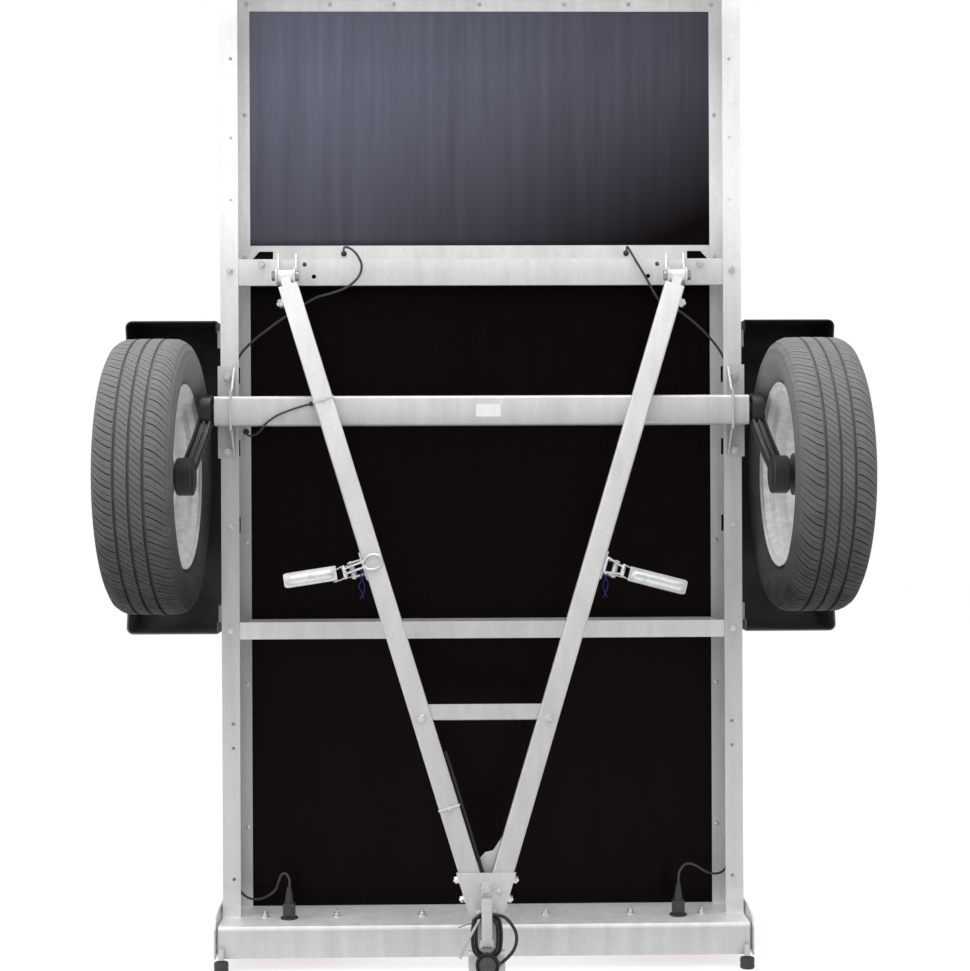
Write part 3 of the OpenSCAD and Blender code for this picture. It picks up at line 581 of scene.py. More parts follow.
def bevelled(mesh_or_bmesh, width, segments=2, angle=30.0):
    """A mesh with its edges rounded by width mm."""
    piece = loose("bevelled", mesh_or_bmesh)
    rounding = piece.modifiers.new("rounding", "BEVEL")
    rounding.width = width * MM
    rounding.segments = segments
    rounding.limit_method = "ANGLE"
    rounding.angle_limit = math.radians(angle)
    return taken_mesh(piece)


def thickened(bm, wall):
    """A shell given a wall, in mm, behind its faces."""
    piece = loose("shell", bm)
    solid = piece.modifiers.new("wall", "SOLIDIFY")
    solid.thickness, solid.offset = wall * MM, -1.0
    return taken_mesh(piece)


# ---------------------------------------------------------------- geometry nodes


def node_tree(name, floats, integers=()):
    """An empty geometry tree with named inputs, and the identifier of each."""
    tree = bpy.data.node_groups.new(name, "GeometryNodeTree")
    tree.is_modifier = True
    sockets = {}
    tree.interface.new_socket("Geometry", in_out="INPUT", socket_type="NodeSocketGeometry")
    for label, value in floats:
        socket = tree.interface.new_socket(label, in_out="INPUT", socket_type="NodeSocketFloat")
        socket.default_value = value
        sockets[label] = socket.identifier
    for label, value in integers:
        socket = tree.interface.new_socket(label, in_out="INPUT", socket_type="NodeSocketInt")
        socket.default_value = value
        sockets[label] = socket.identifier
    tree.interface.new_socket("Geometry", in_out="OUTPUT", socket_type="NodeSocketGeometry")
    return tree, sockets


class Wiring:
    """Short calls for building a geometry tree."""

    def __init__(self, tree):
        self.tree = tree
        self.source = tree.nodes.new("NodeGroupInput")

    def add(self, kind, inputs=(), **settings):
        node = self.tree.nodes.new(kind)
        for key, value in settings.items():
            setattr(node, key, value)
        for key, value in dict(inputs).items():
            if isinstance(value, bpy.types.NodeSocket):
                self.tree.links.new(value, node.inputs[key])
            else:
                node.inputs[key].default_value = value
        return node

    def given(self, label):
        return self.source.outputs[label]

    def plus(self, a, b):
        return self.add("ShaderNodeMath", {0: a, 1: b}, operation="ADD").outputs[0]

    def times(self, a, b):
        return self.add("ShaderNodeMath", {0: a, 1: b}, operation="MULTIPLY").outputs[0]

    def raised(self, geometry, height):
        lift = self.add("ShaderNodeCombineXYZ", {"Z": height})
        return self.add("GeometryNodeTransform", {"Geometry": geometry, "Translation": lift.outputs[0]}).outputs[0]

    def facing(self):
        """The rotation that brings Z to the way a point faces."""
        facing = self.add("GeometryNodeInputNamedAttribute", {"Name": "facing"}, data_type="FLOAT_VECTOR")
        return self.add("FunctionNodeAlignRotationToVector", {"Vector": facing.outputs["Attribute"]},
                        axis="Z").outputs[0]

    def close(self, shape, rotation, material):
        """Puts the shape on every point and gives it its material."""
        placed = self.add("GeometryNodeInstanceOnPoints", {"Points": self.given("Geometry"),
                                                           "Instance": shape.outputs[0], "Rotation": rotation})
        solid = self.add("GeometryNodeRealizeInstances", {"Geometry": placed.outputs[0]})
        coat = self.add("GeometryNodeSetMaterial", {"Geometry": solid.outputs[0], "Material": material})
        out = self.tree.nodes.new("NodeGroupOutput")
        self.tree.links.new(coat.outputs[0], out.inputs["Geometry"])


def bolt_tree(material):
    """Hexagon bolts: a washer, a chamfered head and a thread end, one at each point, facing its own way."""
    tree, sockets = node_tree("bolt_row", (("Across flats", 0.013), ("Head height", 0.005), ("Washer", 0.018),
                                           ("Thread end", 0.0)), (("Seed", 3),))
    wires = Wiring(tree)
    corner = wires.times(wires.given("Across flats"), 0.57735)
    head_h = wires.given("Head height")
    washer_h = 0.0015

    def cone(sides, bottom, top, depth):
        return wires.add("GeometryNodeMeshCone", {"Vertices": sides, "Radius Bottom": bottom, "Radius Top": top,
                                                  "Depth": depth})

    washer = cone(28, wires.times(wires.given("Washer"), 0.5), wires.times(wires.given("Washer"), 0.47), washer_h)
    body = wires.times(head_h, 0.78)
    head = cone(6, corner, corner, body)
    cap = cone(6, corner, wires.times(corner, 0.86), wires.times(head_h, 0.22))
    thread_r = wires.times(wires.given("Across flats"), 0.27)
    thread = cone(12, thread_r, wires.times(thread_r, 0.8), wires.plus(wires.given("Thread end"), 0.0002))
    joined = wires.add("GeometryNodeJoinGeometry")
    top = wires.plus(head_h, washer_h)
    for shape, height in ((washer, 0.0), (head, washer_h), (cap, wires.plus(body, washer_h)), (thread, top)):
        tree.links.new(wires.raised(shape.outputs["Mesh"], height), joined.inputs[0])
    spin = wires.add("FunctionNodeRandomValue", {"Seed": wires.given("Seed")}, data_type="FLOAT")
    angle = wires.times(spin.outputs[1], 1.047)
    euler = wires.add("ShaderNodeCombineXYZ", {"Z": angle})
    as_turn = wires.add("FunctionNodeEulerToRotation", {0: euler.outputs[0]})
    both = wires.add("FunctionNodeRotateRotation", {"Rotation": wires.facing(), "Rotate By": as_turn.outputs[0]},
                     rotation_space="LOCAL")
    wires.close(joined, both.outputs[0], material)
    return tree, sockets


def rib_tree(material):
    """A row of pressed ribs: a rounded bar repeated along an edge of the panel."""
    tree, sockets = node_tree("rib_row", (("Length", 0.2), ("Width", 0.03), ("Height", 0.004)))
    wires = Wiring(tree)
    bar = wires.add("GeometryNodeMeshCylinder", {"Vertices": 20, "Radius": 0.5, "Depth": 1.0})
    size = wires.add("ShaderNodeCombineXYZ", {"X": wires.times(wires.given("Height"), 2.0),
                                              "Y": wires.given("Width"), "Z": wires.given("Length")})
    shaped = wires.add("GeometryNodeTransform", {"Geometry": bar.outputs["Mesh"], "Scale": size.outputs[0]})
    wires.close(shaped, wires.facing(), material)
    return tree, sockets


def repeated_mesh(tree_and_sockets, places, values):
    """The plain mesh that a tree makes at places, given as (point, facing)."""
    tree, sockets = tree_and_sockets
    mesh = bpy.data.meshes.new("places")
    mesh.from_pydata([tuple(p) for p, _ in places], [], [])
    facing = mesh.attributes.new("facing", "FLOAT_VECTOR", "POINT")
    facing.data.foreach_set("vector", [c for _, f in places for c in Vector(f).normalized()])
    piece = loose("places", mesh)
    modifier = piece.modifiers.new("repeat", "NODES")
    modifier.node_group = tree
    for label, value in values.items():
        modifier[sockets[label]] = value
    return taken_mesh(piece)


def joined_mesh(meshes):
    """A working mesh that holds all the meshes."""
    bm = bmesh.new()
    for mesh in meshes:
        bm.from_mesh(mesh)
    return bm


# ---------------------------------------------------------------- stage and camera


CAMERA_PLACE, CAMERA_LENS = (-0.065, -3.725, 0.977), 66.9
CAMERA_TURN, CAMERA_ROLL = -1.09, -0.25     # degrees
AREA_LIGHTS = (    # name, place, aim, size in metres, power in watts
    ("light_overhead", (-0.2, -0.9, 4.9), (0, -0.1, 0.6), 3.2, 110),
    ("light_front", (-1.6, -4.4, 3.0), (0, 0, 1.0), 3.0, 16),
    ("light_right", (4.2, -2.0, 2.2), (0, 0, 1.0), 2.6, 9),
    ("light_left", (-4.2, -1.6, 2.4), (0, 0, 1.0), 2.6, 50),
    ("light_back", (0.6, 4.2, 3.0), (0, 0, 1.0), 3.0, 50),
)


class TRAILER_OT_stage(bpy.types.Operator):
    """Make the camera, the pale floor and the soft studio light"""

    bl_idname = "trailer.make_stage"
    bl_label = "Stage"

    def execute(self, context):
        data = bpy.data.cameras.new("camera")
        data.lens, data.sensor_width = CAMERA_LENS, 36.0
        data.clip_end = 60.0
        camera = bpy.data.objects.new("camera", data)
        context.scene.collection.objects.link(camera)
        aim = turned(CAMERA_TURN, "Z") @ turned(90, "X")
        camera.matrix_world = Matrix.Translation(CAMERA_PLACE) @ aim @ turned(CAMERA_ROLL, "Z")
        context.scene.camera = camera

        bm = bmesh.new()
        bmesh.ops.create_grid(bm, x_segments=1, y_segments=1, size=14.0)
        floor = loose("floor", bm)
        pale = Finish("floor_pale", (0.33, 0.33, 0.33), 0.9, spec=0.0)
        pale.paint(pale.blend(pale.noise(1.5, 2), (0.32, 0.32, 0.32), (0.34, 0.34, 0.34)))
        pale.set("Emission Color", (1, 1, 1, 1))
        pale.set("Emission Strength", 0.72)
        floor.data.materials.append(pale.mat)

        world = bpy.data.worlds.new("studio")
        world.use_nodes = True
        tree = world.node_tree
        seen = tree.nodes["Background"]
        seen.inputs["Color"].default_value = (1, 1, 1, 1)
        # the camera sees white; the trailer is lit by a sky brighter above than below
        sky = tree.nodes.new("ShaderNodeBackground")
        height = tree.nodes.new("ShaderNodeSeparateXYZ")
        tree.links.new(tree.nodes.new("ShaderNodeTexCoord").outputs["Generated"], height.inputs[0])
        grade = tree.nodes.new("ShaderNodeMapRange")
        tree.links.new(height.outputs[2], grade.inputs[0])
        for slot, value in zip(grade.inputs[1:5], (-0.3, 0.8, 0.35, 1.15)):
            slot.default_value = value
        tree.links.new(grade.outputs[0], sky.inputs["Strength"])
        pick = tree.nodes.new("ShaderNodeMixShader")
        tree.links.new(tree.nodes.new("ShaderNodeLightPath").outputs["Is Camera Ray"], pick.inputs[0])
        tree.links.new(sky.outputs[0], pick.inputs[1])
        tree.links.new(seen.outputs[0], pick.inputs[2])
        tree.links.new(pick.outputs[0], tree.nodes["World Output"].inputs[0])
        context.scene.world = world
        context.scene.view_settings.view_transform = "Standard"
        for name, place, aim_at, size, power in AREA_LIGHTS:
            lamp = bpy.data.lights.new(name, "AREA")
            lamp.shape, lamp.size, lamp.energy = "SQUARE", size, power
            light = bpy.data.objects.new(name, lamp)
            light.location = place
            light.rotation_euler = (Vector(aim_at) - Vector(place)).to_track_quat("-Z", "Y").to_euler()
            context.scene.collection.objects.link(light)
        return {"FINISHED"}


# ---------------------------------------------------------------- cords


def cord_piece(name, points, diameter, material, body, nodes,
               steps=6):
    """A cable as a mesh tube through a smooth line."""
    line = smooth_line(points, steps)
    bm = bmesh.new()
    add_swept(bm, line, round_section(diameter / 2, 12))
    outwards(bm)
    piece = finished(name, bm, material, body, nodes, smooth=70.0)


def in_metres(points):
    return [Vector(p) * MM for p in points]


# lead routes, in mm, as in the part
LEFT_LAMP = [(-399, -15, 156), (-399, -14, 168), (-404, -10, 178), (-411, -5, 181), (-418, 2, 175),
             (-424, 10, 160), (-430, 18, 144), (-440, 25, 133), (-452, 30, 125), (-466, 34, 120),
             (-480, 36, 119), (-494, 38, 124), (-505, 40, 134), (-513, 42, 150), (-518, 44, 172)]
RIGHT_LAMP = [(401, -15, 156), (401, -14, 168), (404, -10, 180), (413, -3, 190), (425, 6, 192),
              (440, 14, 186), (455, 20, 176), (470, 26, 168), (486, 32, 165), (500, 36, 169), (510, 40, 180),
              (517, 44, 198)]
LEFT_FRONT = [(-288, 84, 1467), (-287, 60, 1472), (-283, 30, 1473), (-273, 6, 1469), (-260, -9, 1458),
              (-250, -13, 1443), (-246, -13, 1427), (-252, -12, 1408), (-268, -10, 1392), (-288, -6, 1381),
              (-312, 2, 1374), (-340, 9, 1367), (-370, 15, 1351), (-405, 21, 1329), (-440, 27, 1305),
              (-472, 33, 1281), (-498, 38, 1256), (-514, 42, 1228)]
RIGHT_FRONT = [(308, 84, 1467), (307, 60, 1472), (305, 32, 1473), (306, 6, 1466), (313, -8, 1450),
               (324, -12, 1430), (336, -12, 1410), (350, -10, 1385), (366, -4, 1360), (386, 6, 1348),
               (411, 14, 1338), (447, 26, 1312), (476, 34, 1285), (498, 38, 1258), (512, 42, 1232)]
OVER_AXLE = [(-495, 78, 1092), (-490, 50, 1086), (-482, 20, 1082), (-472, -10, 1082), (-460, -38, 1084),
             (-448, -62, 1092), (-436, -68, 1106), (-416, -68, 1120), (-392, -68, 1130), (-368, -68, 1138),
             (-350, -68, 1143)]
HARNESS = [(-77.5, 0, -960), (-74, 2, -972), (-68, 4, -990), (-60, 5, -1016), (-51, 5, -1046), (-40.5, 4, -1080),
           (-30.5, 3, -1112), (-21.5, 2, -1142), (-13.5, 2, -1168), (-8.5, 2, -1184), (-4, 2, -1204)]
TO_PLUG = [(20, -42.2, -1269.5), (30, -43, -1271), (39, -46, -1277), (48, -49, -1288), (54, -51, -1299),
           (56, -52, -1311), (54, -53, -1324), (48, -54, -1336), (39, -54, -1346), (31, -54, -1353), (26, -54, -1357)]
PLUG_W = -1358                   # where the plug hangs along the plane
COIL_W, COIL_HALF = -1308, 14    # middle of the coil along the plane, and half its straight stretch
COIL_RADII = (27.6, 20.9)        # outer and inner turns
COIL_LAYERS = (-34.4, -42.6)     # back and front turns


def coil_point(degrees):
    """A point of the plug cable's coil after turning clockwise by that angle, in the drawbar's plane."""

    def eased(a, b, low, high):
        t = min(1.0, max(0.0, (degrees - low) / (high - low)))
        return a + (b - a) * t * t * (3 - 2 * t)

    outer, inner = COIL_RADII
    radius = eased(outer, inner, 300, 360) if degrees < 600 else eased(inner, outer, 915, 965)
    depth = eased(COIL_LAYERS[0], COIL_LAYERS[1], 605, 665)
    angle = math.radians(120 - degrees)
    return (radius * math.cos(angle), depth,
            COIL_W + radius * math.sin(angle) + max(-COIL_HALF, min(COIL_HALF, 2.4 * COIL_HALF * math.sin(angle))))


class TRAILER_OT_cords(bpy.types.Operator):
    """Make the lamp leads, the leads on the frame and the plug cable with its coil and plug"""

    bl_idname = "trailer.make_cords"
    bl_label = "Cords"

    def execute(self, context):
        sizes = context.scene.trailer_sizes
        for name, route in (("left_lamp_lead", LEFT_LAMP), ("right_lamp_lead", RIGHT_LAMP),
                            ("left_front_lead", LEFT_FRONT), ("right_front_lead", RIGHT_FRONT)):
            cord_piece(name + "_cable", in_metres(route), sizes.lamp_lead, "cable_sheath_grey", "chassis",
                       [name])
        cord_piece("axle_lead_cable", in_metres(OVER_AXLE), sizes.axle_lead, "cable_sheath_grey", "chassis",
                   ["axle_lead"])
        cord_piece("harness_cable", [plane_point(*p) for p in HARNESS], sizes.plug_cable, "cable_sheath_black",
                   "drawbar", ["harness_lead"])
        plug = self.plug()
        start = [(-24.5, -24.0, -1279), (-24.6, -29.0, -1279.5)]
        coil = [coil_point(a) for a in range(0, 1126, 12)]
        route = [plane_point(*p) for p in start + coil + TO_PLUG]
        cord_piece("plug_cable", route, sizes.plug_cable, "cable_sheath_black", "drawbar",
                   ["plug_coil", "plug_lead"], steps=3)
        return {"FINISHED"}

    def plug(self):
        """Round trailer plug: grip rings, a rim round the pins, and the gland where the cable enters."""
        bm = bmesh.new()
        place = plane_matrix() @ moved(0, 0, PLUG_W) @ turned(90, "X")
        shell = [(0, 47), (14, 47), (16.5, 48.5), (17.5, 51)]
        for k in range(3):
            shell += [(17.5, 53 + 3 * k), (16.7, 53.6 + 3 * k), (16.7, 54.6 + 3 * k), (17.5, 55.2 + 3 * k)]
        shell += [(17.5, 62), (21, 62.3), (22.5, 64), (22.5, 90.5), (21.8, 92), (19.2, 92), (18.6, 91), (18.4, 84),
                  (0, 84)]
        add_turned(bm, shell, 56, place)
        face = bmesh.new()
        add_turned(face, [(0, 84.1), (15.4, 84.1), (16.4, 85), (16.4, 87.4), (15.4, 88), (0, 88)], 48, place)
        for count, radius in ((8, 13.2), (4, 6.0), (1, 0.0)):
            for k in range(count):
                a = 2 * math.pi * k / count + 0.2
                at = Matrix.Translation(round_point(radius, a))
                add_turned(face, [(0, 86.5), (1.9, 86.5), (1.9, 90), (1.3, 90.9), (0, 90.9)], 12, place @ at)
        side = (plane_matrix() @ moved(0, -54, PLUG_W)
                @ turned(90, "Y"))
        add_turned(bm, [(0, 13), (7, 13), (7, 19), (5.6, 20), (5.2, 22), (4.4, 26), (0, 26)], 24, side)
        add_box(bm, (-4, -93, 19), (4, -64, 23.2), plane_matrix() @ moved(0, 0, PLUG_W)
                @ moved(0, 1, 0) @ Matrix.Scale(0.97, 4))
        outwards(bm)
        outwards(face)
        insert = finished("trailer_plug_face", face, "plug_grey_insert", "drawbar")
        shell = finished("trailer_plug_shell", bm, "plug_black_plastic", "drawbar", ["trailer_plug"])
        return [shell, insert]


# ---------------------------------------------------------------- carried-over nodes


NODE_FINISHES = {
    "galvanised_sheet": ("left_rail", "right_rail", "front_beam",
                         "light_beam", "beam_end_plates", "left_side_wall", "right_side_wall", "front_wall",
                         "tailgate"),
    "galvanised_cross": ("drawbar_crossmember", "rear_crossmember", "drawbar_brace"),
    "galvanised_tube_metal": ("left_drawbar_arm", "right_drawbar_arm"),
    "galvanised_axle": ("axle_tube",),
    "galvanised_dull": ("axle_brackets",),
    "film_faced_plywood": ("floor_panel",),
    "bracket_grey": ("fender_brackets",),
    "hub_casting": ("left_hub", "right_hub"),
    "foot_rubber": ("lead_clips",),
}
ROUNDED_NODES = (    # node, rounding in mm, finish, body, slot
    ("hinge_lugs", 0.7, "galvanised_dull", "chassis", "galvanised"),
    ("apex_bracket", 0.8, "galvanised_dull", "drawbar", "galvanised"),
    ("coupling_head", 1.6, "galvanised_dull", "drawbar", "galvanised"),
    ("coupling_handle", 1.0, "galvanised_tube_metal", "coupling_handle", "zinc_fasteners"),
    ("latch_bases", 0.6, "bright_zinc", "drawbar", "zinc_fasteners"),
    ("hinge_pins", 0.7, "dark_zinc", "chassis", "zinc_fasteners"),
    ("latch_hooks", 0.6, "bright_zinc", "chassis", "zinc_fasteners"),
    ("left_gate_latch", 1.0, "bright_zinc", "left_gate_latch", "zinc_fasteners"),
    ("right_gate_latch", 1.0, "bright_zinc", "right_gate_latch", "zinc_fasteners"),
)


class TRAILER_OT_frame(bpy.types.Operator):
    """Give the frame, walls and floor their finishes, and round the edges of the brackets"""

    bl_idname = "trailer.finish_frame"
    bl_label = "Frame and brackets"

    def execute(self, context):
        for finish, nodes in NODE_FINISHES.items():
            for node in nodes:
                data = frame["nodes"][node].data
                data.materials.clear()
                data.materials.append(Finish.made[finish])
        for node, width, finish, body, slot in ROUNDED_NODES:
            finished(node + "_rounded", copy_of_node(node, width), finish, body, [node], smooth=30.0)
        return {"FINISHED"}


RIB_WIDTH, RIB_HEIGHT = 0.034, 0.0035


class TRAILER_OT_panels(bpy.types.Operator):
    """Press ribs into the side walls and the tailgate"""

    bl_idname = "trailer.press_panels"
    bl_label = "Pressed ribs"

    def execute(self, context):
        ribs = rib_tree(Finish.made["galvanised_sheet"])
        for side, sign in SIDES:
            low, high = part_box(side + "_side_wall")
            x = sign * (middle("front_beam").x + 0.5375)
            top = high.y - 0.045
            bottom = low.y + 0.035
            centres = [(x, (top + bottom) / 2, 0.26 + 0.21 * k) for k in range(9)]
            mesh = self.bars(ribs, centres, top - bottom)
            finished(side + "_wall_ribs", mesh, "galvanised_sheet", "chassis", smooth=40.0)
        low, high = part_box("tailgate")
        y = (0.115 + high.y) / 2
        mesh = self.bars(ribs, [(0.165 * k, y, 0.0665) for k in range(-2, 3)], 0.20, flat=True)
        finished("tailgate_ribs", mesh, "galvanised_sheet", "tailgate", smooth=40.0)
        return {"FINISHED"}

    def bars(self, ribs, centres, length, flat=False):
        """Bars standing along Y, low across X, or low across Z where the panel lies flat."""
        turn = turned(90, "Y") if flat else Matrix.Identity(4)
        places = [(turn.inverted() @ Vector(centre), (0, 1, 0)) for centre in centres]
        mesh = repeated_mesh(ribs, places, {"Length": length, "Width": RIB_WIDTH, "Height": RIB_HEIGHT})
        mesh.transform(turn)
        return mesh


# ---------------------------------------------------------------- wheels


BOLT_CIRCLE = 50    # radius in mm that the four wheel bolts stand on


def wheel_place(side, sign):
    """Turning axis of a wheel along local Z, outboard up."""
    spin = next(j for j in frame["joints"] if j["name"] == side + "_wheel_spin")
    axis = Vector(spin["axis"]) * sign
    toe = Vector((sign, 0, 0)).rotation_difference(axis).to_matrix().to_4x4()
    return Matrix.Translation(spin["pos_m"]) @ toe @ turned(90 * sign, "Y")


def tyre_mesh(sizes):
    """A tyre round local Z: three grooves, shoulder blocks, and middle ribs cut by fine slanted sipes."""
    outer, side_flat, crowning = 273.5, 8, 0.00062
    deep = sizes.tread_depth / MM

    def crown(u):
        """Radius of the tread u mm from the tyre's middle."""
        return outer - crowning * max(0, abs(u) - side_flat) ** 2

    profile = [(170.5, -54), (178, -54.6), (187, -55.8), (190.5, -58.5), (191.5, -61.5), (196, -65.5), (206, -71),
               (210, -72.2), (212, -72.4), (214, -73.6), (230, -74), (240, -73.4), (247, -72.0), (249, -72.6),
               (252, -72.2), (256, -69.3), (261, -66.4), (263, -66.6), (265.5, -62.8), (268.4, -59.0),
               (270.2, -55.4), (271.4, -51.5)]
    shoulder = [(crown(u), u, "shoulder") for u in (-50.0, -45.0, -40.0, -35.0, -31.5)]
    tread_rows = list(shoulder)
    for groove in (-27.0, 0.0, 27.0):
        top = crown(groove)
        tread_rows += [(top, groove - 3.1, "edge"), (top - deep * 0.8, groove - 2.2, "floor"),
                       (top - deep, groove - 1.4, "floor"), (top - deep, groove + 1.4, "floor"),
                       (top - deep * 0.8, groove + 2.2, "floor"), (top, groove + 3.1, "edge")]
        if groove < 27.0:
            tread_rows += [(crown(groove + u), groove + u, "rib") for u in (7.5, 11.0, 14.0, 16.5, 20.0)]
    tread_rows += [(r, -u, kind) for r, u, kind in reversed(shoulder)]
    rows = [(r, u, "shoulder" if 249 < r < 272 else "side") for r, u in profile]
    rows += tread_rows
    rows += [(r, -u, "shoulder" if 249 < r < 272 else "side") for r, u in reversed(profile)]
    inner = [(170.5, 42), (192, 50), (208, 62), (230, 65), (252, 60), (258.5, 44), (258.5, 0)]
    rows += [(r, u, "inside") for r, u in inner] + [(r, -u, "inside") for r, u in reversed(inner[:-1])]

    pitches = sizes.tread_pitches
    step = 2 * math.pi / pitches
    # share of the pitch, cut depth of the shoulder and of the ribs at each column
    columns = [(0.0, 0, 0), (0.025, 1, 1), (0.055, 1, 1), (0.085, 0.9, 0), (0.11, 0, 0), (0.30, 0, 0),
               (0.49, 0, 0), (0.505, 0.35, 1), (0.53, 0.35, 1), (0.545, 0, 0), (0.75, 0, 0)]
    rib_cuts = {"rib": 2.6, "edge": 1.2, "floor": 0.0}    # depth of the sipes in mm
    bm = bmesh.new()
    rings = []
    for p in range(pitches):
        for share, shoulder_cut, rib_cut in columns:
            ring = []
            for r, u, kind in rows:
                slant = cut = 0.0
                if kind == "shoulder":
                    over = max(0.0, abs(u) - 30.0)
                    slant = math.copysign(0.010 * over + 0.00045 * over * over, u)
                    cut = shoulder_cut * (5.0 if abs(u) < 60 else 3.2 if abs(u) < 68 else 1.2)
                elif kind in rib_cuts:
                    slant = 0.034 * (u + 13.5 if u < 0 else u - 13.5)
                    cut = rib_cut * rib_cuts[kind]
                ring.append(bm.verts.new(round_point(r - cut, (p + share + slant) * step, u)))
            rings.append(ring)
    count = len(rows)
    for i, ring in enumerate(rings):
        following = rings[(i + 1) % len(rings)]
        for k in range(count):
            m = (k + 1) % count
            bm.faces.new((ring[k], following[k], following[m], ring[m]))
    return bm


class TRAILER_OT_wheels(bpy.types.Operator):
    """Make the tyres with their tread, the rims and the wheel bolts"""

    bl_idname = "trailer.make_wheels"
    bl_label = "Wheels"

    def execute(self, context):
        tyre = tyre_mesh(context.scene.trailer_sizes)
        bmesh.ops.recalc_face_normals(tyre, faces=tyre.faces)
        tyre_data = as_mesh("tyre_master", tyre)
        rim = self.rim()
        tree = bolt_tree(Finish.made["bright_zinc"])
        for side, sign in SIDES:
            place = wheel_place(side, sign)
            finished(side + "_tyre_tread", tyre_data.copy(), "tyre_rubber_dust_and_painted_light", side + "_wheel",
                     [side + "_tyre"], smooth=32.0, matrix=place)
            finished(side + "_rim_pressed", rim.copy(), "wheel_paint", side + "_wheel",
                     [side + "_rim"], smooth=28.0, matrix=place)
            points = [(place @ Vector(round_point(BOLT_CIRCLE, math.radians(45 + 90 * k), 16)),
                       place.to_3x3() @ Vector((0, 0, 1))) for k in range(4)]
            bolts = repeated_mesh(tree, points, {"Across flats": 0.0165, "Head height": 0.0095, "Washer": 0.020,
                                                 "Thread end": 0.0})
            finished(side + "_wheel_bolt_heads", bolts, "bright_zinc", side + "_wheel",
                     [side + "_wheel_bolts"], smooth=30.0)
            stem = bmesh.new()
            add_swept(stem, [place @ (Vector(p) * MM) for p in ((146, 0, 30), (143, 0, 36), (138, 0, 50),
                                                                (136, 0, 56))], round_section(0.0045, 12),
                      scales=[1.25, 1.0, 0.8, 0.75])
            outwards(stem)
            finished(side + "_valve_stem", stem, "foot_rubber", side + "_wheel")
        bpy.data.meshes.remove(tyre_data)
        bpy.data.meshes.remove(rim)
        return {"FINISHED"}

    def rim(self):
        """A pressed rim round local Z: barrel with its well and bead seats, and a dished disc with holes."""
        barrel = [(184, -61), (183.6, -58), (182, -56.4), (172, -54.8), (170, -53.6), (168, -50), (167, -42),
                  (160, -37.5), (151.5, -33.5), (150, -31), (150, -9), (152, -5), (164, 4), (166, 7), (167, 42),
                  (168, 50), (170, 53.6), (172, 54.8), (182, 56.4), (183.6, 58), (184, 61), (181, 61.4), (178.5, 60.4),
                  (177, 58.6), (170, 58.4), (166.5, 57), (163.6, 50), (162.6, 44), (162.5, 10), (160, 5), (148, -4),
                  (146, -8), (146, -34), (148, -38), (162, -46), (163.6, -50), (166.5, -57), (170, -58.4),
                  (177, -58.6), (178.5, -60.4), (181, -61.4)]
        disc = [(30, 16), (60, 16), (71, 16.2), (78, 18.6), (84, 20.6), (94, 23.0), (104, 25.6), (108, 25.6),
                (114, 22.8), (124, 16.4), (134, 9.0), (140, 4.5), (145.6, -3.0), (146, -7), (146, -14), (143.5, -11),
                (141, -4), (137, 1.0), (130, 6.5), (120, 13.5), (110, 20.5), (106, 21.8), (102, 21.4), (92, 18.6),
                (84, 16.2), (77, 13.8), (70, 12.0), (30, 12)]
        bm = bmesh.new()
        add_turned(bm, barrel, 128, closed=True)
        outwards(bm)
        barrel_mesh = as_mesh("barrel", bm)
        bm = bmesh.new()
        add_turned(bm, disc, 128, closed=True)
        outwards(bm)
        piece = loose("disc", bm)
        cutter = bmesh.new()
        for count, first, reach, radius, low, high, sides in ((12, 0, 122, 9.5, -6, 34, 28),
                                                              (4, 45, BOLT_CIRCLE, 6.6, 5, 24, 20)):
            for k in range(count):
                a = math.radians(first + 360 // count * k)
                add_turned(cutter, [(0, low), (radius, low), (radius, high), (0, high)], sides,
                           Matrix.Translation(round_point(reach, a)))
        outwards(cutter)
        holes = loose("holes", cutter)
        cut = piece.modifiers.new("cut", "BOOLEAN")
        cut.operation, cut.solver, cut.object = "DIFFERENCE", "EXACT", holes
        disc_mesh = taken_mesh(piece)
        bpy.data.objects.remove(holes)
        mesh = as_mesh("rim_master", joined_mesh([barrel_mesh, disc_mesh]))
        mesh.materials.clear()
        return mesh


# ---------------------------------------------------------------- fenders and swing arms


